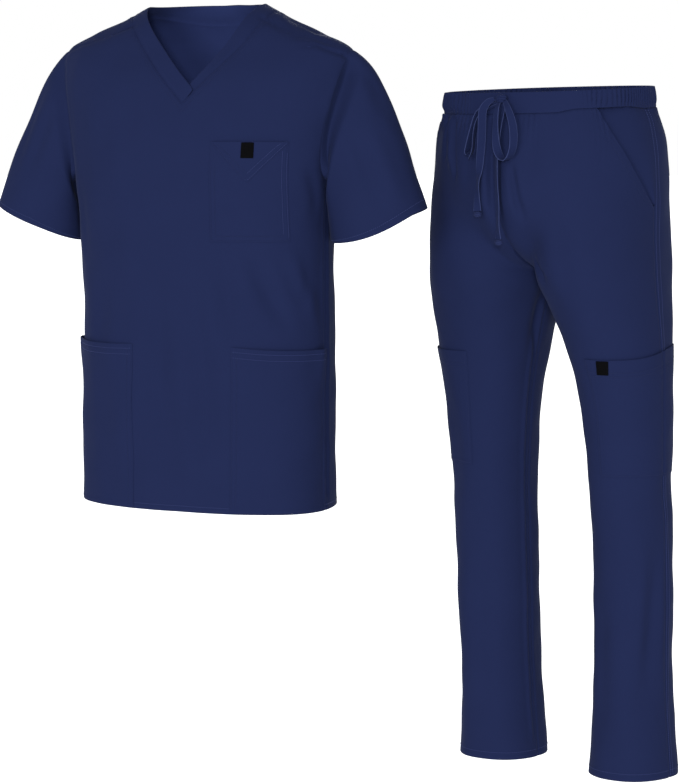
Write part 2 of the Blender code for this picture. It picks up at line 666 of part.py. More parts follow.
def chest_pocket():
    left, right, bottom, top = CHEST_POCKET
    across = np.linspace(0, 1, 8)[None]
    height = np.linspace(0, 1, 7)[:, None]
    x = left + (right - left) * across + 0 * height
    z = bottom + (top - bottom) * height + 0 * across
    return body_patch(x, z, mouth_lift(across, height, CHEST_GAPE))


def chest_facing():
    """The pointed facing over the mouth of the chest pocket."""
    left, right, _, top = CHEST_POCKET
    across = np.linspace(0, 1, 8)[None]
    height = np.linspace(0, 1, 5)[:, None]
    middle, half = (left + right) / 2, (right - left) / 2
    spread = 0.03 + 0.97 * height
    x = middle + half * spread * (2 * across - 1)
    z = CHEST_POINT_Z + (top - CHEST_POINT_Z) * height + 0 * across
    width = (x - left) / (right - left)
    share = (z - CHEST_POCKET[2]) / (top - CHEST_POCKET[2])
    return body_patch(x, z, mouth_lift(width, share, CHEST_GAPE) + PATCH + FACING_GAP)


def lower_pocket():
    """The left lower pocket, from its inner edge to the side seam, down to the hem."""
    across = np.linspace(0, 1, 9)[None]
    height = np.linspace(0, 1, 7)[:, None]
    z = HEM_Z + (LOWER_POCKET_Z - HEM_Z) * height + 0 * across
    inner = TORSO_FORM.angle_at_x(LOWER_POCKET_X, z, -1)
    outer = TORSO_FORM.angle_at_y(SIDE_SEAM_Y - 0.002, z)
    angle = inner + (outer - inner) * across
    return patch(TORSO_FORM.point(angle, z), mouth_lift(across, height))


def chest_label():
    """A small plain label on the facing of the chest pocket."""
    x = LABEL_X + LABEL_HALF * np.linspace(-1, 1, 3)[None] + np.zeros((3, 1))
    z = CHEST_POCKET[3] - LABEL_DEPTH * np.linspace(1, 0.04, 3)[:, None] + np.zeros((1, 3))
    under = LIFT + CHEST_GAPE + 2 * (PATCH + SEAM_GAP)
    return body_patch(x, z, np.full((3, 3), under + LABEL_LIFT))


def make_top():
    front, back = body_panel(-1), body_panel(1)
    left, right = sleeve(SLEEVE_LEFT), mirrored(sleeve(SLEEVE_RIGHT))
    t = np.linspace(0, 1, NECK_COLUMNS + 1)
    band_left = front_band(t, V_X, 0.0, TUCK)
    band_right = mirrored(front_band(t, -V_X, OVERLAP_X, 0.0))
    band_back = back_band(t)
    mid, wide = NECK_COLUMNS + SHOULDER_COLUMNS, 2 * (NECK_COLUMNS + SHOULDER_COLUMNS)
    around = 2 * ARMHOLE_ROWS
    up_front = np.arange(ARMHOLE_ROWS, around + 1) % around
    up_back = np.arange(ARMHOLE_ROWS, -1, -1)
    mirror_of = lambda k: (around - 1 - k) % around
    neck, shoulder = NECK_COLUMNS, SHOULDER_COLUMNS
    seams = [
        (front, front.column(-1, 0, SIDE_ROWS + 1), back, back.column(0, 0, SIDE_ROWS + 1)),
        (front, front.column(0, 0, SIDE_ROWS + 1), back, back.column(-1, 0, SIDE_ROWS + 1)),
        (front, front.column(-1, SIDE_ROWS), left, left.row(-1, up_front)),
        (back, back.column(0, SIDE_ROWS), left, left.row(-1, up_back)),
        (front, front.column(0, SIDE_ROWS), right, right.row(-1, mirror_of(up_front))),
        (back, back.column(-1, SIDE_ROWS), right, right.row(-1, mirror_of(up_back))),
        (
            front,
            front.row(-1, np.arange(mid + neck, wide + 1)),
            back,
            back.row(-1, np.arange(shoulder, -1, -1)),
        ),
        (
            front,
            front.row(-1, np.arange(shoulder, -1, -1)),
            back,
            back.row(-1, np.arange(mid + neck, wide + 1)),
        ),
        (
            front,
            front.row(-1, np.arange(mid, mid + neck + 1)),
            band_left,
            band_left.row(0, np.arange(neck + 1)),
        ),
        (
            front,
            front.row(-1, np.arange(mid, shoulder - 1, -1)),
            band_right,
            band_right.row(0, np.arange(neck, -1, -1)),
        ),
        (
            back,
            back.row(-1, np.arange(shoulder, mid + neck + 1)),
            band_back,
            band_back.row(0, np.arange(2 * neck + 1)),
        ),
        (band_left, band_left.column(-1), band_back, band_back.column(0)),
        (band_right, band_right.column(0), band_back, band_back.column(-1)),
    ]
    close_seams(seams)
    made = []
    for name, cloth, thickness in (
        ("top_front", front, CLOTH),
        ("top_back", back, CLOTH),
        ("top_sleeve_left", left, CLOTH),
        ("top_sleeve_right", right, CLOTH),
        ("top_neckband_left", band_left, BAND),
        ("top_neckband_right", band_right, BAND),
        ("top_neckband_back", band_back, BAND),
    ):
        made.append(wall(name, cloth, thickness, navy()))
    pocket = lower_pocket()
    made += [
        wall("top_pocket_left", pocket, PATCH, navy()),
        wall("top_pocket_right", mirrored(pocket), PATCH, navy()),
        wall("top_pocket_chest", chest_pocket(), PATCH, navy()),
        wall("top_pocket_chest_facing", chest_facing(), PATCH, navy()),
        wall("top_pocket_chest_label", chest_label(), PATCH, black()),
    ]
    move(made, hung)


# ---------------------------------------------------------------- the trousers

LEG_COLUMNS = 9


def trouser_point(side, share, z):
    """The left half of the front (side -1) or back (side 1): share 0 is the rise seam or inseam and
    1 the outseam."""
    share, z = np.broadcast_arrays(np.asarray(share, float), np.asarray(z, float))
    hip = HIP_FORM.point(side * (1 - share) * np.pi / 2, z)
    leg = LEG_FORM.point(side * (1 - share) * np.pi, z)
    drop = np.clip((RISE_CURVE_Z - z) / (RISE_CURVE_Z - CROTCH_Z), 0, 1)
    at_seam = 1 - np.sqrt(1 - drop**2)
    away = ease(share / 0.6)
    beyond = ease((RISE_CURVE_Z + 0.03 - z) / (RISE_CURVE_Z + 0.03 - CROTCH_Z + 0.06 * away))
    to_leg = (at_seam + (beyond - at_seam) * away)[..., None]
    points = hip * (1 - to_leg) + leg * to_leg
    points[..., 0] = np.where((share <= 0) & (z >= CROTCH_Z), 0.0, points[..., 0])
    return points


def slant_share(z):
    """How far round the front the slant pocket's mouth is at each height."""
    rise = np.clip((z - SLANT_LOW_Z) / (-WAISTBAND - SLANT_LOW_Z), 0, 1)
    return 1 - (1 - SLANT_TOP_SHARE) * rise**SLANT_CURVE


def trouser_rows():
    curve = np.radians([90, 72, 56, 42, 28, 10])
    bend = RISE_CURVE_Z + (CROTCH_Z - RISE_CURVE_Z) * np.sin(curve)
    low = TROUSER_HEM_Z + (CROTCH_Z - TROUSER_HEM_Z) * np.linspace(0, 1, 16)[:-1] ** 0.9
    high = np.linspace(RISE_CURVE_Z, -WAISTBAND - SEAM_GAP, 7)
    return np.concatenate([low, bend, high])


def trouser_panels():
    z = trouser_rows()
    z[np.argmin(np.abs(z - SLANT_LOW_Z))] = SLANT_LOW_Z
    column = np.linspace(0, 1, LEG_COLUMNS + 1)[None]
    front = Cloth(trouser_point(-1, column * slant_share(z)[:, None], z[:, None]))
    back = Cloth(trouser_point(1, column[:, ::-1], z[:, None]))
    return z, front, back


def waistband():
    angle = np.linspace(0, 2 * np.pi, GATHER_COLUMNS, endpoint=False)
    z = np.array([-WAISTBAND, 0.0])[:, None]
    points = HIP_FORM.point(angle[None], z)
    away = np.where(points[..., 1] < 0, np.abs(points[..., 0]), 1.0)
    gathered = ease((away - FLAT_FRONT) / 0.03)
    wave = np.where(np.arange(GATHER_COLUMNS) % 2, 1.0, -1.0) * GATHER_DEPTH
    cloth = Cloth(points, wraps=True)
    cloth.points = cloth.points + cloth.normal * (gathered * wave + 0.0008)[..., None]
    cloth.points[..., 2] = z
    inner = points - cloth.normal * (BAND - gathered * wave - 0.0008)[..., None]
    inner[..., 2] = z
    return cloth, inner


def pocket_facing():
    """The cloth behind the left slant pocket's mouth."""
    z = np.linspace(SLANT_LOW_Z - 0.014, -WAISTBAND - SEAM_GAP, 8)[:, None]
    start = slant_share(z) - FACING_UNDER
    share = start + (1.03 - start) * np.linspace(0, 1, 5)[None]
    cloth = Cloth(trouser_point(-1, share, z))
    cloth.points = cloth.points - cloth.normal * FACING_DROP
    cloth.points[..., 2] = z
    return cloth


def cargo_pocket():
    """The left cargo pocket, wrapped round the outseam."""
    across = np.linspace(0, 1, 11)[None]
    height = np.linspace(0, 1, 6)[:, None]
    top = CARGO_TOP_Z + CARGO_RISE * ease((across - 0.3) / 0.7)
    z = CARGO_BOTTOM_Z + (top - CARGO_BOTTOM_Z) * height
    turn = (CARGO_TURNS[0] + (CARGO_TURNS[1] - CARGO_TURNS[0]) * across) * 2 * np.pi
    return patch(LEG_FORM.point(turn + 0 * z, z), mouth_lift(across, height, CARGO_GAPE))


def cargo_label():
    """A small plain label by the front corner of the left cargo pocket."""
    turn = 2 * np.pi * np.linspace(*CARGO_LABEL_TURNS, 3)[None] + np.zeros((3, 1))
    z = CARGO_TOP_Z - LABEL_DEPTH * np.linspace(1, 0.06, 3)[:, None] + np.zeros((1, 3))
    return patch(LEG_FORM.point(turn, z), np.full((3, 3), 2 * LIFT + PATCH + 0.0008))


def tape(name, strands, finish, steps=3):
    """A flat tape along its middle line, with square edges."""
    line = smooth(strands, steps)
    middle, width, turn = line[:, :3], line[:, 3], np.radians(line[:, 4])
    along = unit(np.gradient(middle, axis=0))
    facing = np.stack([np.sin(turn), -np.cos(turn), np.zeros_like(turn)], -1)
    side = unit(np.cross(along, facing))
    for k in range(1, len(side)):
        if side[k] @ side[k - 1] < 0:
            side[k] = -side[k]
    face = np.cross(side, along)
    corners = [
        middle + side * (width / 2)[:, None] * a + face * TAPE / 2 * b
        for a, b in ((-1, -1), (1, -1), (1, 1), (-1, 1))
    ]
    rings = np.stack(corners, 1)
    count = len(rings)
    faces = [
        (4 * r + c, 4 * r + (c + 1) % 4, 4 * (r + 1) + (c + 1) % 4, 4 * (r + 1) + c)
        for r in range(count - 1)
        for c in range(4)
    ]
    faces += [(3, 2, 1, 0), tuple(4 * (count - 1) + c for c in range(4))]
    return outward(solid(name, rings.reshape(-1, 3), faces, finish))


def outward(obj):
    """Turns a closed mesh's faces outwards."""
    mesh = bmesh.new()
    mesh.from_mesh(obj.data)
    bmesh.ops.recalc_face_normals(mesh, faces=mesh.faces)
    mesh.to_mesh(obj.data)
    mesh.free()
    return obj


def bead(name, centre, half, lobes, finish):
    """A knot: a ball with soft lobes, as of tape wrapped round itself."""
    rings, around = 7, 14
    vertices = [(centre[0], centre[1], centre[2] - half[2])]
    for r in range(1, rings):
        tilt = np.pi * r / rings
        for k in range(around):
            turn = 2 * np.pi * k / around
            reach = 1 + lobes * np.cos(3 * turn + 2.2 * tilt)
            vertices.append(
                (
                    centre[0] + half[0] * reach * np.sin(tilt) * np.cos(turn),
                    centre[1] + half[1] * reach * np.sin(tilt) * np.sin(turn),
                    centre[2] - half[2] * np.cos(tilt),
                )
            )
    vertices.append((centre[0], centre[1], centre[2] + half[2]))
    faces = [(0, 1 + (k + 1) % around, 1 + k) for k in range(around)]
    for r in range(rings - 2):
        for k in range(around):
            a, b = 1 + r * around + k, 1 + r * around + (k + 1) % around
            faces.append((a, b, b + around, a + around))
    last = 1 + (rings - 2) * around
    faces += [(last + k, last + (k + 1) % around, len(vertices) - 1) for k in range(around)]
    return outward(solid(name, vertices, faces, finish))


def make_trousers():
    z, front, back = trouser_panels()
    front_right, back_right = mirrored(front), mirrored(back)
    crotch = int(np.argmin(np.abs(z - CROTCH_Z)))
    slant = int(np.argmin(np.abs(z - SLANT_LOW_Z)))
    seams = [
        (front, front.column(-1, 0, slant + 1), back, back.column(0, 0, slant + 1)),
        (front, front.column(0, 0, crotch + 1), back, back.column(-1, 0, crotch + 1)),
        (
            front_right,
            front_right.column(0, 0, slant + 1),
            back_right,
            back_right.column(-1, 0, slant + 1),
        ),
        (
            front_right,
            front_right.column(-1, 0, crotch + 1),
            back_right,
            back_right.column(0, 0, crotch + 1),
        ),
        (front, front.column(0, crotch), front_right, front_right.column(-1, crotch)),
        (back, back.column(-1, crotch), back_right, back_right.column(0, crotch)),
    ]
    close_seams(seams)
    for cloth in (front, back, front_right, back_right):
        cloth.outward[-1, :, 2] = 0
        cloth.outward[-1] = unit(cloth.outward[-1])
    made = [
        wall("trouser_front_left", front, CLOTH, navy()),
        wall("trouser_front_right", front_right, CLOTH, navy()),
        wall("trouser_back_left", back, CLOTH, navy()),
        wall("trouser_back_right", back_right, CLOTH, navy()),
    ]
    band, inner = waistband()
    made.append(wall("trouser_waistband", band, BAND, navy(), inner))
    facing, pocket = pocket_facing(), cargo_pocket()
    for name, cloth in (("trouser_pocket_facing", facing), ("trouser_cargo_pocket", pocket)):
        made.append(wall(name + "_left", cloth, PATCH, navy()))
        made.append(wall(name + "_right", mirrored(cloth), PATCH, navy()))
    made += [
        wall("trouser_cargo_pocket_label", cargo_label(), PATCH, black()),
        bead("drawstring_knot", KNOT_AT, KNOT_HALF, 0.08, navy()),
        bead("drawstring_end_left", END_LEFT, END_HALF, 0.12, navy()),
        bead("drawstring_end_right", END_RIGHT, END_HALF, 0.12, navy()),
        tape("drawstring_tail_left", TAIL_LEFT, navy()),
        tape("drawstring_tail_right", TAIL_RIGHT, navy()),
        tape("drawstring_loop_left", LOOP_LEFT, navy()),
        tape("drawstring_loop_right", LOOP_RIGHT, navy()),
    ]
    move(made, placed)


def main():
    for obj in list(bpy.data.objects):
        bpy.data.objects.remove(obj)
    make_top()
    make_trousers()


main()
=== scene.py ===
"""The looks of the medical scrubs: cloth shells with their creases, seams, stitching and drawstring.

Metres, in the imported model's frame: the origin is the middle of the top's neck, and the top faces -Y.
Every cloth piece is a closed thin shell over the same lofted forms as its solid, so the tables of
sections here repeat the part's own. Creases and seams are lines on those forms. They raise or sink
whatever cloth lies near them, so a pocket follows the panel under it.
"""

from collections import namedtuple
from functools import partial, reduce

import bpy
import numpy as np
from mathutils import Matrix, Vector
from mathutils.bvhtree import BVHTree


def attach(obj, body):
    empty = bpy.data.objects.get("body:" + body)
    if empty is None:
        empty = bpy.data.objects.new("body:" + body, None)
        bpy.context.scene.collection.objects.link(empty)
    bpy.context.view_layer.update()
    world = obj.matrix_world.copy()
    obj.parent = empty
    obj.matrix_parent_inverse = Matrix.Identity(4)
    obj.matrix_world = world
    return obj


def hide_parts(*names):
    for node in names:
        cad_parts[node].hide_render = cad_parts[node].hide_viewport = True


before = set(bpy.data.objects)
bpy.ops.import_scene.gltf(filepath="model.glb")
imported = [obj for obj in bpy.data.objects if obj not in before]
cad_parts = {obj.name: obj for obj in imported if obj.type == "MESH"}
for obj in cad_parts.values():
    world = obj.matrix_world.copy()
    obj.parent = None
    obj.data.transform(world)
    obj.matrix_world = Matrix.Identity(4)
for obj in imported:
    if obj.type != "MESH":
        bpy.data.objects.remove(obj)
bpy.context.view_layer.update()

# The picture: its height and the row of the horizon in pixels, and the lens in pixels
FRAME_HEIGHT, HORIZON_ROW, LENS = 784, 80, 2992
CAMERA_AZIMUTH = np.radians(17.5)
CAMERA_DISTANCE = 4.4
CAMERA_SIDE = 0.193  # how far right of the origin it looks
CAMERA_Z = -0.106
FLOOR_Z, FLOOR_REACH, FLOOR_SIDES = -1.19, 30, 96
WORLD_LIGHT = 0.70  # the background's light on the cloth, of its full white
Sun = namedtuple("Sun", "name energy size tilt turn")  # in degrees, and turned from the camera
SUNS = [Sun("front", 2.4, 8, 7, -2), Sun("key", 1.3, 20, 12, -28), Sun("back", 1.7, 30, 12, 180)]

# Cloth
CLOTH = 0.0011  # wall of a panel
HEM_WALL = 0.0024  # where the hem is turned up
PATCH = 0.0010  # wall of a pocket
BAND = 0.0020  # wall of the doubled neckband and waistband
SEWN_GAP = 0.0002  # from a panel to the patch that is sewn to it
SEAM_DIP, SEAM_WIDTH = -0.0016, 0.0022
PUCKER, PUCKER_REACH, PUCKER_PITCH = 0.00035, 0.009, 0.015
DRAPE = 0.00045  # how uneven the cloth is between its creases
PRESSED = 0.0035  # how far in a patch's edge is pressed thin
EDGE_ROWS = (0.0022, 0.0083)  # how far from a patch's edge it is stitched
GROOVE, GROOVE_WIDTH = 0.00035, 0.0009  # where the stitches draw the cloth in

# Stitching
STITCH, STITCH_PITCH, THREAD, THREAD_SIDES = 0.0027, 0.0032, 0.00033, 5

# Colours and weaves
NAVY, NAVY_LIGHT = (0.0074, 0.0111, 0.0375), (0.0084, 0.0125, 0.0425)
INSIDE_PAINTED_LIGHT = 1.8  # how much lighter the cloth's inner faces are painted: painted light, for the shade inside the garments
# painted highlights: the lighter colour of the tape's edges, and the lighter tone that the end knots are
# mottled with
TAPE_EDGE_HIGHLIGHT, KNOT_HIGHLIGHT = (0.026, 0.035, 0.092), (0.014, 0.019, 0.058)
THREAD_NAVY, FINE_THREAD = (0.030, 0.040, 0.118), (0.012, 0.017, 0.055)
LABEL_DARK, LABEL_LIGHT = (0.0008, 0.0008, 0.0012), (0.003, 0.003, 0.0035)
TWILL, LABEL_RIB, LABEL_WEFT = 0.0011, 0.0006, 0.0009  # pitches of the weaves

# Top: the places of the sewing, the same as in the part
HEM_Z = -0.727
UNDERARM_Z = -0.250
TIP_Z = -0.062
SIDE_SEAM_Y = -0.022
ARMHOLE_FRONT, ARMHOLE_BACK = 0.040, 0.056
NECK_SEAM_Z, V_SEAM_Z, BACK_SEAM_Z = -0.0105, -0.138, -0.026
NECK_Z, V_Z, V_X, BACK_NECK_Z = 0.0, -0.112, 0.008, 0.003
OVERLAP_X, TUCK = 0.0062, 0.0029
SLEEVE_HALF_DEPTH, SLEEVE_LENGTH = 0.060, 0.16
Sleeve = namedtuple("Sleeve", "x z inner_x inner_z out down arrive bow")
SLEEVE_LEFT = Sleeve(0.333, -0.288, 0.194, -0.339, 0.150, -0.060, 0.230, 0.014)
SLEEVE_RIGHT = Sleeve(0.330, -0.288, 0.198, -0.342, 0.125, -0.058, 0.105, -0.001)
# how both sleeves leave their armholes and arrive at their hems, at half height and underneath
LEAVE_LEVEL, LEAVE_LOWER = (0.060, 0.0, -0.095), (0.016, 0.0, -0.062)
ARRIVE_LEVEL, ARRIVE_LOWER = 0.150, 0.050
CHEST_POCKET = (0.048, 0.155, -0.336, -0.194)  # left, right, bottom and top
CHEST_POINT_Z = -0.250
LOWER_POCKET_X, LOWER_POCKET_Z = 0.074, -0.490

# Top: its looks
LOWER_MOUTH_ROWS = (0.0065, 0.0150)  # how far under the mouths of the lower pockets they are stitched
LOWER_LIFT_LEFT, LOWER_LIFT_RIGHT = (0.0035, -0.0030), (0.0045, 0.0065)  # of their inner and outer ends
LOWER_SAG = 0.0025  # how far the middles of these mouths hang
LOWER_CORNER = 0.0050  # how far their outer corners stand out
SWAY = [(-0.45, 0.0012), (-0.34, -0.0010), (-0.25, -0.0030), (-0.15, 0.0)]  # heights, and shifts in x
HEM_DROP, HEM_SLANT, NECK_SHIFT, NECK_RISE = 0.0018, 0.020, 0.008, 0.004
HEM_ROW = 0.0075  # how far above the top's hems they are stitched
NECK_ROWS, CHEST_ROWS, LOWER_EDGE_ROWS = (0.0022, 0.0085), (0.002, 0.008), (0.002, 0.0085)
POCKET_SLACK = 0.0006
CHEST_GAPE, LOWER_GAPE = 0.0010, 0.0030  # how far the pockets stand open
LABEL_HALF = 0.0085
CHEST_LABEL_X, CHEST_LABEL = 0.101, 0.0225  # its middle, and how far down it hangs
ROOT_AT, ROOT_WIDTH, ROOT_FRONT = 0.0095, 0.030, 0.028  # a sleeve's hollow beside the armhole
ROOT_DEPTH_LEFT, ROOT_DEPTH_RIGHT = 0.0125, 0.0060

# Trousers, in their own frame
TROUSERS_AT = (0.474, 0.150, -0.122)
TROUSERS_TURN = np.radians(-20.5)
WAISTBAND, WAIST_GAP = 0.030, 0.0003
GATHER_PITCH, GATHER = 0.0072, 0.0024
UNDER_BAND = np.array([0.0004, 0.002, 0.004, 0.007, 0.010])  # rows that go up behind the waistband
BAND_PROUD, BAND_BULGE = 0.0006, 0.0006
WAIST_RADIUS, WAIST_HALF, WAIST_HALF_DEPTH = 0.142, 0.157, 0.127
FOLD_DEPTH = 0.0025  # of the small folds under the waistband
FLAT_TUCKS = [(-0.044, 0.011, 1.0), (0.058, 0.016, 0.8)]  # x, width and strength
FLAT_RIGHT, FLAT_LEFT = 0.044, 0.106  # how far the waistband is flat on each side of its middle
WAIST_RISE, WAIST_TILT_X, WAIST_TILT_Y = 0.0015, 0.0030, 0.0045
TROUSER_HEM_Z, CROTCH_Z, RISE_CURVE_Z = -1.004, -0.262, -0.150
SLANT_TOP_SHARE, SLANT_LOW_Z = 0.648, -0.168  # the slant pockets' mouths
FACING_UNDER, FACING_DROP = 0.055, 0.0090  # how far their facings reach and lie behind the panels
CARGO_TOP_Z, CARGO_BOTTOM_Z, CARGO_RISE = -0.383, -0.556, 0.016
CARGO_TURNS = (-0.265, 0.125)  # the front and back edges, in rounds of the leg
CARGO_LABEL_X, CARGO_LABEL, CARGO_LABEL_LEAN = 0.1362, 0.0215, 0.14
CARGO_GAPE = 0.0022
CARGO_MOUTH_ROWS = (0.018, 0.024)
TROUSER_HEM_ROW = 0.010
OUTSEAM_ROWS, SLANT_ROWS = (0.012, 0.042), (0.016, 0.046)  # in shares of a panel's width

# Drawstring
TAPE = 0.0014
KNOT_AT = (0.0095, -0.1313, -0.0080)
KNOT_HALF = (0.0092, 0.0052, 0.0064)
END_LEFT, END_RIGHT = (-0.0268, -0.1418, -0.1750), (0.0079, -0.1410, -0.2150)
END_HALF = (0.0062, 0.0040, 0.0042)

Section = namedtuple("Section", "z centre half front back ridge square")
TORSO = [
    Section(HEM_Z, 0, 0.1885, -0.126, 0.128, 0.000, 2.5),
    Section(-0.600, 0, 0.1875, -0.124, 0.126, 0.000, 2.5),
    Section(-0.450, 0, 0.1870, -0.122, 0.122, 0.000, 2.4),
    Section(-0.340, 0, 0.1890, -0.123, 0.122, 0.000, 2.4),
    Section(-0.250, 0, 0.1950, -0.122, 0.123, 0.000, 2.4),
    Section(-0.190, 0, 0.2070, -0.118, 0.123, 0.002, 2.3),
    Section(-0.140, 0, 0.2180, -0.109, 0.120, 0.004, 2.2),
    Section(-0.098, 0, 0.2230, -0.096, 0.113, 0.006, 2.1),
    Section(TIP_Z, 0, 0.2180, -0.076, 0.103, 0.008, 2.0),
    Section(-0.040, 0, 0.1770, -0.065, 0.096, 0.009, 2.0),
    Section(-0.020, 0, 0.1335, -0.052, 0.088, 0.010, 2.0),
    Section(0.000, 0, 0.0925, -0.036, 0.080, 0.010, 2.0),
    Section(0.015, 0, 0.0700, -0.026, 0.076, 0.010, 2.0),
]
HIP = [
    Section(0.020, 0, 0.1550, -0.122, 0.126, 0.008, 2.2),
    Section(0.000, 0, 0.1560, -0.124, 0.128, 0.008, 2.2),
    Section(-0.028, 0, 0.1580, -0.126, 0.131, 0.010, 2.2),
    Section(-0.050, 0, 0.1670, -0.130, 0.136, 0.012, 2.2),
    Section(-0.090, 0, 0.1760, -0.133, 0.143, 0.014, 2.2),
    Section(-0.160, 0, 0.1810, -0.137, 0.150, 0.015, 2.2),
    Section(-0.220, 0, 0.1820, -0.135, 0.150, 0.014, 2.2),
    Section(-0.280, 0, 0.1825, -0.130, 0.146, 0.014, 2.2),
]
LEG = [
    Section(-0.140, 0.0915, 0.0910, -0.128, 0.146, 0.014, 2.2),
    Section(-0.210, 0.0915, 0.0910, -0.122, 0.144, 0.014, 2.2),
    Section(CROTCH_Z, 0.0920, 0.0915, -0.111, 0.132, 0.014, 2.2),
    Section(-0.305, 0.1000, 0.0845, -0.094, 0.122, 0.016, 2.2),
    Section(-0.360, 0.1090, 0.0770, -0.073, 0.112, 0.020, 2.1),
    Section(-0.450, 0.1170, 0.0660, -0.046, 0.105, 0.028, 2.1),
    Section(-0.578, 0.1180, 0.0585, -0.029, 0.105, 0.037, 2.1),
    Section(-0.700, 0.1160, 0.0550, -0.020, 0.106, 0.042, 2.1),
    Section(-0.880, 0.1130, 0.0550, -0.017, 0.109, 0.046, 2.1),
    Section(-0.995, 0.1120, 0.0600, -0.020, 0.118, 0.049, 2.1),
    Section(-1.050, 0.1115, 0.0630, -0.022, 0.122, 0.050, 2.1),
]

Lean = namedtuple("Lean", "z right_out right_in left_in left_out")
STANCE = [
    Lean(-1.050, 0.005, 0.012, 0.0170, 0.020),
    Lean(-0.950, 0.004, 0.010, 0.0150, 0.020),
    Lean(-0.820, -0.002, 0.009, 0.0154, 0.017),
    Lean(-0.750, -0.005, 0.009, 0.0147, 0.017),
    Lean(-0.630, -0.002, 0.007, 0.0112, 0.012),
    Lean(-0.570, 0.001, 0.006, 0.0098, 0.006),
    Lean(-0.390, 0.002, 0.010, 0.0100, 0.002),
    Lean(CROTCH_Z, 0.000, 0.007, 0.0065, -0.002),
    Lean(-0.190, 0.000, 0.004, 0.0040, -0.004),
    Lean(-0.120, 0.000, 0.001, 0.0010, -0.002),
    Lean(-0.060, 0.000, 0.000, 0.0000, 0.000),
    Lean(0.020, 0.000, 0.000, 0.0000, 0.000),
]
STANCE_X = (-0.16, -0.05, 0.05, 0.16)

Fold = namedtuple("Fold", "turn low high width depth")
TORSO_FOLDS = [
    Fold(-0.205, -0.700, -0.330, 0.030, -0.0045),
    Fold(-0.160, -0.760, -0.360, 0.036, 0.0040),
    Fold(-0.300, -0.760, -0.400, 0.045, 0.0030),
    Fold(-0.370, -0.760, -0.300, 0.030, -0.0035),
    Fold(0.150, -0.760, -0.300, 0.040, 0.0045),
    Fold(0.215, -0.780, -0.240, 0.035, -0.0050),
    Fold(0.290, -0.760, -0.260, 0.035, -0.0045),
    Fold(0.350, -0.760, -0.330, 0.040, 0.0045),
]
LEG_FOLDS = [
    Fold(-0.200, -1.020, -0.640, 0.020, 0.0040),
    Fold(-0.120, -1.020, -0.560, 0.022, -0.0040),
    Fold(0.170, -1.020, -0.500, 0.022, -0.0045),
    Fold(0.300, -1.020, -0.560, 0.020, 0.0040),
]
HIP_FOLDS = [
    Fold(-0.250, -0.270, -0.020, 0.014, -0.0040),
    Fold(-0.222, -0.250, -0.060, 0.020, 0.0030),
]

Strand = namedtuple("Strand", "x y z width turn")
TAIL_LEFT = [
    Strand(-0.0007, -0.1338, -0.0078, 0.0060, 20),
    Strand(-0.0090, -0.1378, -0.0125, 0.0100, 24),
    Strand(-0.0165, -0.1390, -0.0235, 0.0120, 30),
    Strand(-0.0186, -0.1385, -0.0400, 0.0120, 33),
    Strand(-0.0190, -0.1395, -0.0687, 0.0120, 30),
    Strand(-0.0206, -0.1425, -0.1047, 0.0118, 6),
    Strand(-0.0234, -0.1430, -0.1260, 0.0108, -36),
    Strand(-0.0262, -0.1425, -0.1480, 0.0108, -10),
    Strand(-0.0268, -0.1420, -0.1700, 0.0115, 22),
]
TAIL_RIGHT = [
    Strand(0.0112, -0.1318, -0.0152, 0.0055, 0),
    Strand(0.0140, -0.1345, -0.0256, 0.0090, -8),
    Strand(0.0125, -0.1385, -0.0450, 0.0105, -22),
    Strand(0.0108, -0.1410, -0.0687, 0.0110, -32),
    Strand(0.0088, -0.1425, -0.0975, 0.0112, -36),
    Strand(0.0088, -0.1430, -0.1300, 0.0112, -34),
    Strand(0.0096, -0.1435, -0.1600, 0.0112, -26),
    Strand(0.0090, -0.1430, -0.1900, 0.0112, -34),
    Strand(0.0079, -0.1415, -0.2100, 0.0112, -10),
]
LOOP_LEFT = [
    Strand(0.0014, -0.1306, -0.0134, 0.0045, 66),
    Strand(-0.0140, -0.1315, -0.0180, 0.0055, 74),
    Strand(-0.0295, -0.1345, -0.0285, 0.0085, 80),
    Strand(-0.0362, -0.1385, -0.0520, 0.0110, 78),
    Strand(-0.0422, -0.1405, -0.0760, 0.0115, 80),
    Strand(-0.0438, -0.1410, -0.0840, 0.0115, 88),
    Strand(-0.0412, -0.1412, -0.0885, 0.0115, 100),
    Strand(-0.0362, -0.1412, -0.0870, 0.0115, 106),
    Strand(-0.0328, -0.1408, -0.0770, 0.0115, 106),
    Strand(-0.0315, -0.1400, -0.0600, 0.0105, 100),
    Strand(-0.0300, -0.1362, -0.0420, 0.0080, 92),
    Strand(-0.0225, -0.1325, -0.0290, 0.0055, 84),
    Strand(-0.0100, -0.1312, -0.0215, 0.0045, 76),
    Strand(0.0048, -0.1306, -0.0160, 0.0045, 68),
]
LOOP_RIGHT = [
    Strand(0.0088, -0.1358, -0.0138, 0.0060, -5),
    Strand(0.0096, -0.1430, -0.0245, 0.0095, -12),
    Strand(0.0100, -0.1460, -0.0470, 0.0110, -8),
    Strand(0.0114, -0.1470, -0.0687, 0.0115, 15),
    Strand(0.0166, -0.1472, -0.0860, 0.0118, 55),
    Strand(0.0255, -0.1472, -0.0945, 0.0120, 90),
    Strand(0.0350, -0.1470, -0.0895, 0.0120, 80),
    Strand(0.0410, -0.1462, -0.0730, 0.0120, 55),
    Strand(0.0388, -0.1440, -0.0470, 0.0115, 40),
    Strand(0.0285, -0.1410, -0.0240, 0.0095, 30),
    Strand(0.0182, -0.1342, -0.0112, 0.0060, 20),
]


# ---------------------------------------------------------------- forms


def unit(vectors):
    return vectors / np.maximum(np.linalg.norm(vectors, axis=-1, keepdims=True), 1e-12)


def running(steps):
    """The sums of the steps, from 0."""
    return np.concatenate([[0], np.cumsum(steps)])


def run_of(line):
    """How far along a polyline each of its points is."""
    return running(np.linalg.norm(np.diff(line, axis=0), axis=1))


def ease(t):
    t = np.clip(t, 0.0, 1.0)
    return t * t * (3.0 - 2.0 * t)


def bell(away, width):
    return np.exp(-((away / width) ** 2))


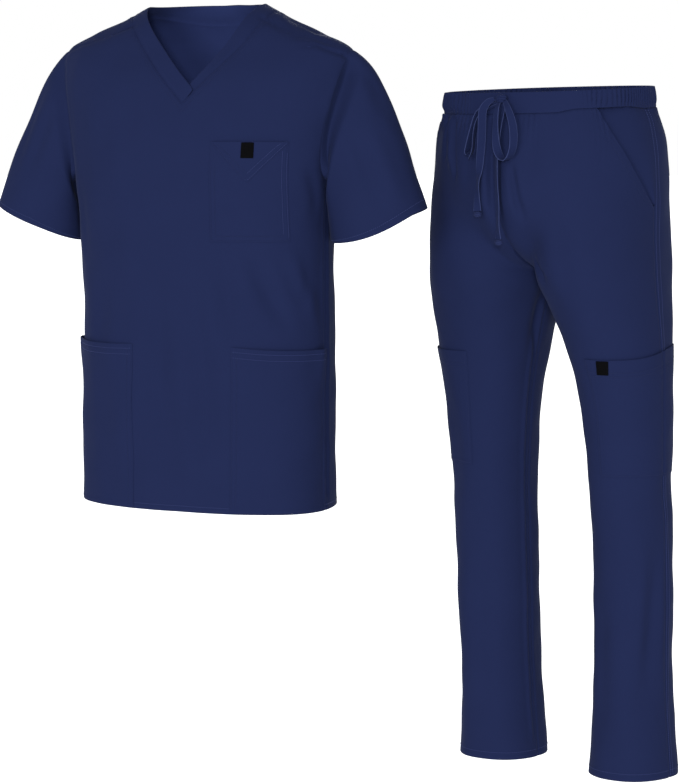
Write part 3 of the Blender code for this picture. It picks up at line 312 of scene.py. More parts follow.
def columns_at(table, z):
    """The other columns of a table where its first one is z."""
    return [np.interp(z, table[:, 0], column) for column in table.T[1:]]


def smooth(rows, steps=40):
    """A Catmull-Rom curve through the rows, column by column."""
    rows = np.array(rows, float)
    p = np.vstack([2 * rows[0] - rows[1], rows, 2 * rows[-1] - rows[-2]])
    s = np.arange(steps)[:, None] / steps
    spans = [
        0.5
        * (
            2 * p[i]
            + (p[i + 1] - p[i - 1]) * s
            + (2 * p[i - 1] - 5 * p[i] + 4 * p[i + 1] - p[i + 2]) * s**2
            + (3 * p[i] - p[i - 1] - 3 * p[i + 1] + p[i + 2]) * s**3
        )
        for i in range(1, len(p) - 2)
    ]
    return np.vstack([*spans, rows[-1:]])


class Form:
    """A hollow shape lofted through sections. An angle of 0 is its left side and -90 degrees its front."""

    def __init__(self, sections, folds=()):
        table = smooth(sections)
        self.table = table[np.argsort(table[:, 0])]
        self.folds = folds

    def at(self, z):
        z = np.asarray(z, float)
        return Section(z, *columns_at(self.table, z))

    def folded(self, angle, z):
        out = np.zeros(np.broadcast(angle, z).shape)
        for f in self.folds:
            away = (angle / (2 * np.pi) - f.turn + 0.5) % 1.0 - 0.5
            girth = 2 * np.pi * self.at(z).half
            along = np.sin(np.pi * np.clip((z - f.low) / (f.high - f.low), 0, 1)) ** 2
            out = out + f.depth * along * bell(away * girth, f.width)
        return out

    def point(self, angle, z):
        angle, z = np.broadcast_arrays(np.asarray(angle, float), np.asarray(z, float))
        s = self.at(z)
        depth = np.where(np.sin(angle) < 0, s.ridge - s.front, s.back - s.ridge)
        reach = (
            np.abs(np.cos(angle) / s.half) ** s.square + np.abs(np.sin(angle) / depth) ** s.square
        ) ** (-1 / s.square)
        reach = reach + self.folded(angle, z)
        return np.stack([s.centre + reach * np.cos(angle), s.ridge + reach * np.sin(angle), z], -1)

    def angle_at_x(self, x, z, side):
        s = self.at(z)
        depth = s.ridge - s.front if side < 0 else s.back - s.ridge
        across = np.clip(np.abs((x - s.centre) / s.half), 0, 1)
        return np.arctan2(side * depth * (1 - across**s.square) ** (1 / s.square), x - s.centre)

    def angle_at_y(self, y, z):
        s = self.at(z)
        depth = np.where(y < s.ridge, s.ridge - s.front, s.back - s.ridge)
        across = np.clip(np.abs((y - s.ridge) / depth), 0, 1)
        return np.arctan2(y - s.ridge, s.half * (1 - across**s.square) ** (1 / s.square))


TORSO_FORM = Form(TORSO, TORSO_FOLDS)
HIP_FORM = Form(HIP, HIP_FOLDS)
LEG_FORM = Form(LEG, LEG_FOLDS)


def hung(points):
    """The top's points as it hangs: its left shoulder rides up to the neck, and its hem slants."""
    x, y, z = points.T
    neck = ease((z - TIP_Z) / 0.05) * np.clip(x / 0.09, 0, 1)
    hem = ease((SWAY[0][0] - z) / 0.25) * (HEM_DROP - HEM_SLANT * x)
    shift = np.interp(z, *zip(*SWAY))
    shift = np.where(np.abs(x) < 0.20, shift, shift * np.clip((0.24 - np.abs(x)) / 0.04, 0, 1))
    return np.stack([x + shift - NECK_SHIFT * neck, y, z + NECK_RISE * neck + hem], -1)


def placed(points):
    """The trousers' points in their stance, turned and moved beside the top."""
    x, y, z = points.T
    places = columns_at(smooth(STANCE), z)
    lean = places[0]
    for near, far, start, end in zip(places, places[1:], STANCE_X, STANCE_X[1:]):
        lean = lean + (far - near) * ease((x - start) / (end - start))
    tilt = WAIST_RISE + WAIST_TILT_X * x / WAIST_HALF + WAIST_TILT_Y * y / 0.13
    waist = ease((z + 0.25) / 0.20) * tilt
    x = x + lean
    seam = 0.0015 + 0.0045 * ease((x - 0.085) / 0.03) * ease((0.02 - y) / 0.05)
    waist = waist + seam * bell(z + WAISTBAND, 0.013)
    cos, sin = np.cos(TROUSERS_TURN), np.sin(TROUSERS_TURN)
    return np.stack([cos * x - sin * y, sin * x + cos * y, z + waist], -1) + TROUSERS_AT


# ---------------------------------------------------------------- creases and seams

Crease = namedtuple("Crease", "line width depth fade")
Seam = namedtuple("Seam", "line width depth")


def nearest(points, line):
    """Each point's distance to a polyline, and how many metres along it the nearest place is."""
    start, step = line[:-1], np.diff(line, axis=0)
    length = np.maximum(np.linalg.norm(step, axis=1), 1e-9)
    run = running(length)
    gap, along = np.full(len(points), np.inf), np.zeros(len(points))
    for a, s, size, before in zip(start, step, length, run):
        share = np.clip(((points - a) @ s) / size**2, 0, 1)
        away = np.linalg.norm(points - a - share[:, None] * s, axis=1)
        closer = away < gap
        gap = np.where(closer, away, gap)
        along = np.where(closer, before + share * size, along)
    return gap, along, run[-1]


def around(points, line, reach):
    """Which points are in a polyline's box, grown by the reach."""
    inside = (points > line.min(0) - reach) & (points < line.max(0) + reach)
    return np.flatnonzero(inside.all(1))


def uneven(along, pitch):
    """A wave of an uneven pitch."""
    phase = 2 * np.pi * along / pitch
    return np.sin(phase + 1.3 * np.sin(0.37 * phase)) * (0.7 + 0.3 * np.sin(0.23 * phase + 1.0))


def drape(points):
    """How the cloth wavers between its creases."""
    x, y, z = points.T
    return DRAPE * (
        np.sin(63 * x + 21 * z + 0.7)
        + np.sin(-37 * x + 55 * y + 48 * z + 2.1)
        + 0.7 * np.sin(110 * x - 90 * y + 17 * z)
        + 0.6 * np.sin(28 * x + 75 * y - 95 * z + 4.0)
    )


def relief(points, creases, seams):
    """How far the creases and seams raise the cloth."""
    flat = points.reshape(-1, 3)
    height = drape(flat)
    for c in creases:
        near = around(flat, c.line, 2.6 * c.width)
        if len(near):
            gap, along, length = nearest(flat[near], c.line)
            taper = ease(along / length / c.fade) * ease((1 - along / length) / c.fade)
            q = (gap / c.width) ** 2
            height[near] += c.depth * taper * (1 - 0.8 * q) * np.exp(-0.9 * q)
    for s in seams:
        near = around(flat, s.line, 3 * PUCKER_REACH)
        if len(near):
            gap, along, length = nearest(flat[near], s.line)
            close = bell(gap, PUCKER_REACH)
            height[near] = height[near] * (1 - close) + PUCKER * uneven(along, PUCKER_PITCH) * close
            height[near] += s.depth * bell(gap, s.width)
    return height.reshape(points.shape[:-1])


def spread(count, low=1.0, high=1.0, reach=0.15):
    """Shares from 0 to 1, closer together by these factors at the low and high ends."""
    place = (np.arange(count - 1) + 0.5) / (count - 1)
    step = 1 - (1 - low) * (1 - ease(place / reach)) - (1 - high) * (1 - ease((1 - place) / reach))
    share = running(step)
    return share / share[-1]


# ---------------------------------------------------------------- cloth

EDGES = ("bottom", "right", "top", "left")  # of a piece, counterclockwise
EDGE_TURNS = np.radians([135, 90, 45])  # where round its half circle a soft edge has its vertices
SHARP_ANGLE = np.radians(50)
SHORT_STEP = 2e-4  # for the slopes of a surface
OUTSIDES = {}  # the vertices and the outer faces of each piece, for the stitches on it


class Cloth:
    """A cut piece: a grid of points on its form, the form's outward normals there, and how high the
    outer face of the cloth lies over it. Its columns run counterclockwise seen from above and its
    rows upwards."""

    def __init__(self, points, normal, wraps=False):
        self.points, self.normal, self.wraps = points, normal, wraps
        self.height = np.zeros(points.shape[:2])

    def mirrored(self):
        flip = lambda v: v[:, ::-1] * (-1, 1, 1)
        return Cloth(flip(self.points), flip(self.normal), self.wraps)

    def outside(self):
        return self.points + self.normal * self.height[..., None]


def lay(surface, a, b, wraps=False, outward=1):
    """The cloth of a surface, at a grid of its two coordinates."""
    a, b = np.broadcast_arrays(np.asarray(a, float), np.asarray(b, float))
    across = surface(a + SHORT_STEP, b) - surface(a - SHORT_STEP, b)
    up = surface(a, b + SHORT_STEP) - surface(a, b - SHORT_STEP)
    return Cloth(surface(a, b), outward * unit(np.cross(across, up)), wraps)


def joined(first, second):
    """One piece from two halves that share their middle column."""
    points = np.hstack([first.points, second.points[:, 1:]])
    return Cloth(points, unit(np.hstack([first.normal, second.normal[:, 1:]])))


def join(a, at_a, b, at_b):
    """Two pieces share their normals where they are sewn edge to edge."""
    shared = unit(a.normal[at_a] + b.normal[at_b])
    a.normal[at_a] = shared
    b.normal[at_b] = shared


def cells(grid):
    """The four corners of each cell of a grid, counterclockwise."""
    corners = np.stack([grid[:-1, :-1], grid[:-1, 1:], grid[1:, 1:], grid[1:, :-1]], 2)
    return corners.reshape(-1, *corners.shape[2:])


def closed(grid):
    """A grid with its first column again as its last."""
    return np.hstack([grid, grid[:, :1]])


def numbered(rows, columns):
    return np.arange(rows * columns).reshape(rows, columns)


def shell(name, cloth, wall, finish, warp, soft=EDGES, inside=None):
    """The closed shell of a piece. Its soft edges are round, and the others are cut square to lie
    against the piece that they are sewn to."""
    outer = cloth.outside()
    number = numbered(*outer.shape[:2])
    count = number.size
    inner = outer - cloth.normal * np.broadcast_to(wall, number.shape)[..., None]
    flat_outer, flat_inner = outer.reshape(-1, 3), inner.reshape(-1, 3)
    vertices = [flat_outer, flat_inner]

    wide = closed(number) if cloth.wraps else number
    span = np.linalg.norm(np.diff(closed(outer), axis=1), axis=-1).mean(0)
    rise = np.linalg.norm(np.diff(outer, axis=0), axis=-1).mean(1)
    uvs = cells(np.stack(np.meshgrid(running(span)[: wide.shape[1]], running(rise)), -1))
    uvs = np.concatenate([uvs, uvs[:, ::-1]])
    faces = cells(wide)
    outer_faces = len(faces)
    faces = np.vstack([faces, faces[:, ::-1] + count])

    sides = {
        "bottom": (number[0], number[1]),
        "right": (number[:, -1], number[:, -2]),
        "top": (number[-1, ::-1], number[-2, ::-1]),
        "left": (number[::-1, 0], number[::-1, 1]),
    }
    for loop in [["bottom"], ["top"]] if cloth.wraps else [EDGES]:
        edge, into = (np.concatenate([sides[s][k] for s in loop]) for k in (0, 1))
        bulge = np.concatenate([np.full(len(sides[s][0]), float(s in soft)) for s in loop])
        if not cloth.wraps:
            twice = edge == np.roll(edge, 1)
            bulge = np.where(twice, np.minimum(bulge, np.roll(bulge, 1)), bulge)
            bulge = np.where(np.roll(twice, -1), np.roll(bulge, -1), bulge)
            edge, into, bulge = edge[~twice], into[~twice], bulge[~twice]
        middle = (flat_outer[edge] + flat_inner[edge]) / 2
        half = (flat_outer[edge] - flat_inner[edge]) / 2
        size = np.linalg.norm(half, axis=1, keepdims=True)
        facing = half / size
        out = flat_outer[edge] - flat_outer[into]
        out = unit(out - (out * facing).sum(1, keepdims=True) * facing)
        rings = [edge + count]
        for turn in EDGE_TURNS:
            reach = np.sin(turn) * bulge[:, None] * size
            rings.append(sum(len(x) for x in vertices) + np.arange(len(edge)))
            vertices.append(middle + half * np.cos(turn) + out * reach)
        rings.append(edge)
        faces = np.vstack([faces, cells(closed(np.array(rings)))])
        run = running(np.linalg.norm(np.roll(middle, -1, 0) - middle, axis=1))
        rise = np.arange(len(rings)) * size.mean() / 2
        uvs = np.concatenate([uvs, cells(np.stack(np.meshgrid(run, rise), -1))])
    spots = warp(np.vstack(vertices))
    OUTSIDES[name] = spots.tolist(), faces[:outer_faces].tolist()
    made = mesh_object(name, spots, faces.tolist(), finish, uvs, SHARP_ANGLE)
    # the inner faces take the finish that is painted lighter, painted light in the shaded insides
    if inside:
        made.data.materials.append(inside)
        which = np.zeros(len(faces), np.int32)
        which[outer_faces : 2 * outer_faces] = 1
        made.data.polygons.foreach_set("material_index", which)
    return made


def add_object(name, data):
    made = bpy.data.objects.new(name, data)
    bpy.context.scene.collection.objects.link(made)
    return made


def mesh_object(name, vertices, faces, finish, uvs=None, sharp=None):
    """An object that rides on the part's one body. Its edges are sharp past the sharp angle."""
    mesh = bpy.data.meshes.new(name)
    mesh.from_pydata(np.asarray(vertices).tolist(), [], faces)
    if uvs is not None:
        layer = mesh.uv_layers.new(name="cut")
        layer.data.foreach_set("uv", np.asarray(uvs, np.float32).ravel())
    mesh.materials.append(finish)
    mesh.shade_smooth()
    if sharp:
        mesh.set_sharp_from_angle(angle=sharp)
    made = add_object(name, mesh)
    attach(made, "root")
    return made


def sew(name, cloth, wall, finish, warp, soft=EDGES, inside=None):
    """A piece's shell. It replaces its solid."""
    made = shell(name, cloth, wall, finish, warp, soft, inside)
    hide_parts(name)
    outer = closed(cloth.outside()) if cloth.wraps else cloth.outside()
    return made


# ---------------------------------------------------------------- materials


class Nodes:
    """The nodes of a material or a world, made and linked by name."""

    def __init__(self, owner, shader="Principled BSDF"):
        owner.use_nodes = True
        self.owner, self.tree = owner, owner.node_tree
        self.shader = self.tree.nodes[shader]

    def fill(self, node, values):
        """Give a node's inputs these values. A value that is another node's output is linked."""
        for key, value in values.items():
            if isinstance(value, bpy.types.NodeSocket):
                self.tree.links.new(value, node.inputs[key])
            else:
                node.inputs[key].default_value = value

    def add(self, kind, values=None, **settings):
        node = self.tree.nodes.new(kind)
        for key, value in settings.items():
            setattr(node, key, value)
        self.fill(node, values or {})
        return node

    def math(self, operation, a, b=0.0):
        return self.add("ShaderNodeMath", {0: a, 1: b}, operation=operation).outputs[0]

    def total(self, *terms):
        """The sum of terms, each a value and its share."""
        products = [self.math("MULTIPLY", value, share) for value, share in terms]
        return reduce(lambda a, b: self.math("ADD", a, b), products)

    def wave(self, place, length):
        return self.math("SINE", self.math("MULTIPLY", place, 2 * np.pi / length))

    def noise(self, place, scale, detail):
        values = {"Vector": place, "Scale": scale, "Detail": detail}
        return self.add("ShaderNodeTexNoise", values).outputs["Fac"]

    def mix(self, factor, a, b):
        """A colour between two others."""
        return self.add("ShaderNodeMix", {0: factor, 6: a, 7: b}, data_type="RGBA").outputs[2]

    def bump(self, height, strength, distance):
        values = {"Height": height, "Strength": strength, "Distance": distance}
        return self.add("ShaderNodeBump", values).outputs["Normal"]

    def cut_place(self):
        """A place on the flat cut, as one vector and as its two coordinates."""
        uv = self.add("ShaderNodeTexCoord").outputs["UV"]
        return uv, *self.add("ShaderNodeSeparateXYZ", {0: uv}).outputs[:2]


def cloth_finish(name, colour, light, edge_highlight=None):
    """Woven cloth: twill lines, slubs and a slight mottle of shade. A tape's edges are painted lighter, a
    painted highlight.
    """
    n = Nodes(bpy.data.materials.new(name))
    uv, u, v = n.cut_place()
    weave = n.wave(n.math("ADD", u, v), TWILL)
    cross = n.wave(n.math("SUBTRACT", u, v), TWILL / 2)
    stretched = n.add("ShaderNodeMapping", {"Vector": uv, "Scale": (1.0, 0.12, 1.0)})
    slub = n.noise(stretched.outputs[0], 900, 2)
    mottle = n.noise(n.add("ShaderNodeNewGeometry").outputs["Position"], 16, 4)
    shade = n.total((slub, 0.35), (mottle, 0.65), (weave, 0.10))
    base = n.mix(n.add("ShaderNodeClamp", {0: shade}).outputs[0], (*colour, 1), (*light, 1))
    if edge_highlight:
        # painted highlight: the outer strips of the tape are mixed towards the lighter edge colour
        edge = n.math("GREATER_THAN", n.math("ABSOLUTE", n.math("SUBTRACT", u, 0.5)), 0.43)
        base = n.mix(n.math("MULTIPLY", edge, 0.75), base, (*edge_highlight, 1))
        n.fill(n.shader, {"Base Color": (*colour, 1)})
    height = n.total((weave, 0.5), (cross, 0.25), (slub, 1.2))
    look = {"Base Color": base, "Normal": n.bump(height, 0.35, 0.00012), "Roughness": 0.85}
    look |= {"Specular IOR Level": 0.02, "Sheen Weight": 0.03, "Sheen Roughness": 0.4}
    n.fill(n.shader, look | {"Sheen Tint": (0.45, 0.52, 0.85, 1)})
    return n.owner


def label_finish():
    """Black woven ribbon: a fine crosswise rib."""
    n = Nodes(bpy.data.materials.new("woven_label"))
    _, u, v = n.cut_place()
    rib, weft = n.wave(v, LABEL_RIB), n.wave(u, LABEL_WEFT)
    share = n.math("MULTIPLY", n.math("ADD", rib, 1.0), 0.5)
    base = n.mix(share, (*LABEL_DARK, 1), (*LABEL_LIGHT, 1))
    bump = n.bump(n.total((rib, 1.0), (weft, 0.4)), 0.5, 0.0001)
    look = {"Base Color": base, "Normal": bump, "Roughness": 0.7, "Specular IOR Level": 0.01}
    n.fill(n.shader, look)
    return n.owner


def thread_finish(name, colour):
    n = Nodes(bpy.data.materials.new(name))
    twist = n.noise(n.add("ShaderNodeNewGeometry").outputs["Position"], 2500, 1)
    dark = [0.8 * c for c in colour]
    base = n.mix(twist, (*dark, 1), (*colour, 1))
    n.fill(n.shader, {"Base Color": base, "Roughness": 0.6, "Specular IOR Level": 0.05})
    return n.owner


def make_finishes():
    # painted light: the inner faces are painted lighter, so the shaded inside of the neck shows as bright
    # as the front
    painted_inside_light = [[INSIDE_PAINTED_LIGHT * c for c in colour] for colour in (NAVY, NAVY_LIGHT)]
    return {
        "cloth": cloth_finish("navy_cloth_weave", NAVY, NAVY_LIGHT),
        "inside": cloth_finish("navy_cloth_inside_painted_light", *painted_inside_light),
        "tape": cloth_finish("navy_tape", NAVY, NAVY_LIGHT, TAPE_EDGE_HIGHLIGHT),
        "thread": thread_finish("navy_thread", THREAD_NAVY),
        "fine_thread": thread_finish("navy_fine_thread", FINE_THREAD),
        "label": label_finish(),
        # the end knots are mottled towards a lighter tone, a painted highlight
        "tape_knot": cloth_finish("navy_tape_knot", NAVY, KNOT_HIGHLIGHT),
    }


# ---------------------------------------------------------------- camera, light and floor


def make_camera():
    data = bpy.data.cameras.new("camera")
    data.sensor_fit = "VERTICAL"
    data.angle_y = 2 * np.arctan(FRAME_HEIGHT / 2 / LENS)
    camera = bpy.context.scene.camera = add_object("camera", data)
    cos, sin = np.cos(CAMERA_AZIMUTH), np.sin(CAMERA_AZIMUTH)
    camera.location = (
        CAMERA_SIDE * cos + CAMERA_DISTANCE * sin,
        CAMERA_SIDE * sin - CAMERA_DISTANCE * cos,
        CAMERA_Z,
    )
    pitch = np.arctan((FRAME_HEIGHT / 2 - HORIZON_ROW) / LENS)
    camera.rotation_euler = (np.pi / 2 - pitch, 0, CAMERA_AZIMUTH)


def make_light():
    """A white room, which lights the cloth a little less than it shows, and the suns."""
    n = Nodes(bpy.data.worlds.new("studio"), "Background")
    seen = n.add("ShaderNodeLightPath").outputs["Is Camera Ray"]
    strength = n.add("ShaderNodeMapRange", {"Value": seen, "To Min": WORLD_LIGHT, "To Max": 1.0})
    n.fill(n.shader, {0: (1, 1, 1, 1), 1: strength.outputs["Result"]})
    bpy.context.scene.world = n.owner
    for sun in SUNS:
        data = bpy.data.lights.new(sun.name, "SUN")
        data.energy = sun.energy
        data.angle = np.radians(sun.size)
        turn = CAMERA_AZIMUTH + np.radians(sun.turn)
        add_object(sun.name, data).rotation_euler = (np.radians(90 - sun.tilt), 0, turn)
    bpy.context.scene.view_settings.view_transform = "Standard"


def make_floor():
    """A plain white floor."""
    n = Nodes(bpy.data.materials.new("white_floor"))
    n.fill(n.shader, {"Base Color": (0.9, 0.9, 0.9, 1), "Roughness": 1.0})
    n.fill(n.shader, {"Emission Color": (1, 1, 1, 1), "Emission Strength": 0.6})
    mesh = bpy.data.meshes.new("floor")
    turn = np.linspace(0, 2 * np.pi, FLOOR_SIDES, endpoint=False)
    ring = [FLOOR_REACH * np.cos(turn), FLOOR_REACH * np.sin(turn), np.full(FLOOR_SIDES, FLOOR_Z)]
    mesh.from_pydata(np.stack(ring, -1).tolist(), [], [tuple(range(FLOOR_SIDES))])
    mesh.materials.append(n.owner)
    floor = add_object("floor", mesh)


# ---------------------------------------------------------------- drawstring

TAPE_STEPS, TAPE_ACROSS = 14, 13
KNOT_RINGS, KNOT_SIDES = 44, 56


def tape(name, strands, finish):
    """A flat woven tape along its middle line, with thicker edges. Returns it and its line."""
    line = smooth(strands, TAPE_STEPS)
    middle, width, turn = line[:, :3], line[:, 3], np.radians(line[:, 4])
    along = unit(np.gradient(middle, axis=0))
    facing = np.stack([np.sin(turn), -np.cos(turn), np.zeros_like(turn)], -1)
    side = unit(np.cross(along, facing))
    for k in range(1, len(side)):
        if side[k] @ side[k - 1] < 0:
            side[k] = -side[k]
    face = np.cross(side, along)
    u = np.sin(np.linspace(-1, 1, TAPE_ACROSS) * np.pi / 2)
    thick = 0.82 + 0.30 * bell(np.abs(u) - 0.86, 0.12)
    high = TAPE / 2 * (1 - np.abs(u) ** 8) ** 0.5 * thick
    loop_u = np.concatenate([u, u[-2:0:-1]])
    loop_high = np.concatenate([high, -high[-2:0:-1]])
    rings = middle[:, None] + side[:, None] * (width[:, None] / 2 * loop_u)[..., None]
    rings = rings + face[:, None] * loop_high[None, :, None]
    number = numbered(*rings.shape[:2])
    size = len(loop_u)
    vertices = rings.reshape(-1, 3)
    share = np.append(loop_u, loop_u[0]) / 2 + 0.5
    uvs = cells(np.stack(np.meshgrid(share, run_of(middle)), -1))
    caps = [
        [ring[k], ring[size - k - 1], ring[size - k - 2], ring[k + 1]][::flip]
        for ring, flip in ((number[0], 1), (number[-1], -1))
        for k in range(size // 2 - 1)
    ]
    faces = np.vstack([cells(closed(number)), caps])
    uvs = np.concatenate([uvs, np.full((len(caps), 4, 2), 0.5)])
    corner, beside, ahead = vertices[[0, 1, size]]
    if np.cross(beside - corner, ahead - corner) @ (corner + beside - 2 * middle[0]) < 0:
        faces, uvs = faces[:, ::-1], uvs[:, ::-1]
    made = mesh_object(name, placed(vertices), faces.tolist(), finish, uvs, SHARP_ANGLE)
    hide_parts(name)
    return made, placed(middle)


def knot(name, centre, half, finish, wraps, tilt):
    """A knot of tape: a lump with soft ridges wound aslant round it."""
    rise = np.linspace(-np.pi / 2, np.pi / 2, KNOT_RINGS)[1:-1, None]
    turn = np.linspace(0, 2 * np.pi, KNOT_SIDES, endpoint=False)[None]
    band = (wraps * (rise + tilt * np.sin(turn)) / np.pi * 2) % 1.0
    reach = 0.84 + 0.24 * (1 - (2 * band - 1) ** 4)
    x = reach * np.cos(rise) ** 0.8 * np.cos(turn)
    y = reach * np.cos(rise) ** 0.8 * np.sin(turn)
    z = reach * np.sin(rise) + 0.12 * np.cos(turn) * np.cos(rise)
    body = np.stack([x, y, z], -1).reshape(-1, 3)
    spots = placed(np.vstack([body, [[0, 0, -0.94], [0, 0, 0.94]]]) * half + centre)
    wide = closed(numbered(*x.shape))
    low, high = len(body), len(body) + 1
    faces = cells(wide).tolist()
    faces += [[low, b, a] for a, b in zip(wide[0], wide[0, 1:])]
    faces += [[high, a, b] for a, b in zip(wide[-1], wide[-1, 1:])]
    uvs = spots[np.concatenate(faces)][:, [0, 2]]
    made = mesh_object(name, spots, faces, finish, uvs)
    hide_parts(name)
    return made


def make_drawstring(finishes):
    knot("drawstring_knot", KNOT_AT, KNOT_HALF, finishes["cloth"], 2.0, 0.5)
    ends = [
        knot("drawstring_end_left", END_LEFT, END_HALF, finishes["tape_knot"], 1.5, 0.6),
        knot("drawstring_end_right", END_RIGHT, END_HALF, finishes["tape_knot"], 1.5, -0.5),
    ]
    for name, strands, far_end, others in (
        ("drawstring_tail_left", TAIL_LEFT, "knot", ends[:1]),
        ("drawstring_loop_left", LOOP_LEFT, "object", []),
        ("drawstring_tail_right", TAIL_RIGHT, "knot", ends[1:]),
        ("drawstring_loop_right", LOOP_RIGHT, "object", []),
    ):
        made, path = tape(name, strands, finishes["tape"])


# ---------------------------------------------------------------- the top

SIDE_ROWS, ARMHOLE_ROWS = 108, 76
NECK_COLUMNS, SHOULDER_COLUMNS = 40, 32
SLEEVE_ROWS = 58
BAND_ROWS = 12
LINE_STEPS = 8  # between two places of a crease
BELOW_ARMHOLE = 0.76  # the share of a panel's middle line that goes with its side seam
SLEEVE_HEM_SHARE = 0.945  # where along a sleeve its hem is turned up to


def torso_face(x, z, side=-1):
    """The torso's front (side -1) or back (side 1) at x and z."""
    return TORSO_FORM.point(TORSO_FORM.angle_at_x(x, z, side), z)


def torso_side(y, z):
    """The torso's left side at y and z."""
    return TORSO_FORM.point(TORSO_FORM.angle_at_y(y, z), z)


def torso_at(grid):
    """The torso at a grid of (angle, z)."""
    return TORSO_FORM.point(grid[..., 0], grid[..., 1])


def lay_torso(grid):
    return lay(TORSO_FORM.point, grid[..., 0], grid[..., 1])


def mirror(line):
    return line * (-1, 1, 1)


SIDES = {"left": lambda line: line, "right": mirror}  # from the left side's lines to each side's


def coons(bottom, top, left, right, rise):
    """A grid that fills four edges. rise is each row's share of the way from bottom to top."""
    u = np.linspace(0, 1, len(bottom))[None, :, None]
    v = rise[:, None, None] ** 2.5
    across = (1 - v) * bottom[None] + v * top[None] + (1 - u) * left[:, None] + u * right[:, None]
    corners = (
        (1 - u) * (1 - v) * bottom[0]
        + u * (1 - v) * bottom[-1]
        + (1 - u) * v * top[0]
        + u * v * top[-1]
    )
    return across - corners


def armhole(turn):
    """(angle, z) of the armhole: turn 0 is the shoulder tip, pi the underarm, the back comes first."""
    rise = (1 + np.cos(turn)) / 2
    z = UNDERARM_Z + (TIP_Z - UNDERARM_Z) * rise
    tip_y = TORSO_FORM.at(TIP_Z).ridge
    reach = np.where(np.sin(turn) < 0, ARMHOLE_FRONT, ARMHOLE_BACK)
    y = SIDE_SEAM_Y + (tip_y - SIDE_SEAM_Y) * rise + reach * np.sin(turn)
    return np.stack([TORSO_FORM.angle_at_y(y, z), z], -1)


def v_line(t, z, point_x, point_z, reach=0.0):
    """(angle, z) of the front's neck edges: t 0 is on the shoulder and 1 at the V."""
    x = float(TORSO_FORM.at(z).half)
    across = x + (point_x - reach - x) * t**1.35
    height = z + (point_z - z) / (x - point_x) * (x - across) - 0.004 * np.sin(np.pi * t)
    angle = np.where(t > 0, TORSO_FORM.angle_at_x(across, height, -1), 0.0)
    return np.stack([angle, height], -1)


def back_line(t, z, middle_z):
    """(angle, z) of the back's neck edges: t 0 is on the shoulder and 1 in the middle."""
    angle = np.pi / 2 * t
    return np.stack([angle, z + (middle_z - z) * ease(t * 1.15)], -1)


def shoulder_line(t):
    """(angle, z) of the shoulder seam, from the neckband's seam to the tip."""
    inner, outer = TORSO_FORM.at([NECK_SEAM_Z, TIP_Z]).half
    half = inner + (outer - inner) * t
    heights = np.linspace(TIP_Z, NECK_SEAM_Z, 60)
    z = np.interp(-half, -TORSO_FORM.at(heights).half, heights)
    z = np.where(t <= 0, NECK_SEAM_Z, np.where(t >= 1, TIP_Z, z))
    return np.stack([np.zeros_like(z), z], -1)


SIDE_SHARE = spread(SIDE_ROWS + 1, low=0.35, reach=0.08)
HOLE_SHARE = np.linspace(0, 1, ARMHOLE_ROWS + 1)
NECK_SHARE = np.linspace(0, 1, NECK_COLUMNS + 1)
SHOULDER_SHARE = spread(SHOULDER_COLUMNS + 1, high=0.35, reach=0.5)
BAND_SHARE = spread(BAND_ROWS, low=0.5, high=0.5, reach=0.4)
SLEEVE_SHARE = 1 - spread(SLEEVE_ROWS, low=0.3, high=0.3, reach=0.3)


def body_half(side):
    """(angle, z) of the left half of the front (side -1) or back (side 1), from the middle outwards."""
    hole = armhole(np.pi - side * np.pi * HOLE_SHARE)
    seam_z = HEM_Z + (UNDERARM_Z - HEM_Z) * SIDE_SHARE
    seam = np.stack([TORSO_FORM.angle_at_y(SIDE_SEAM_Y, seam_z), seam_z], -1)
    outer = np.vstack([seam[:-1], hole])
    shoulder = shoulder_line(SHOULDER_SHARE)
    neck_share = NECK_SHARE[::-1]
    if side < 0:
        neck = v_line(neck_share, NECK_SEAM_Z, 0.0, V_SEAM_Z)
    else:
        neck = back_line(neck_share, NECK_SEAM_Z, BACK_SEAM_Z)
    top = np.vstack([neck, shoulder[1:]])
    columns = len(top)
    across = spread(columns, high=0.3, reach=0.12)
    low_angle = side * np.pi / 2 + (seam[0, 0] - side * np.pi / 2) * across
    bottom = np.stack([low_angle, np.full(columns, HEM_Z)], -1)
    share, rise = (
        np.concatenate([SIDE_SHARE[:-1] * below, below + (1 - below) * HOLE_SHARE])
        for below in (BELOW_ARMHOLE, 0.5)
    )
    middle_z = HEM_Z + (top[0, 1] - HEM_Z) * share
    middle = np.stack([np.full(len(middle_z), side * np.pi / 2), middle_z], -1)
    return coons(bottom, top, middle, outer, rise)


def body_panel(side):
    half = lay_torso(body_half(side)[:, ::-side])
    return joined(half, half.mirrored()) if side > 0 else joined(half.mirrored(), half)


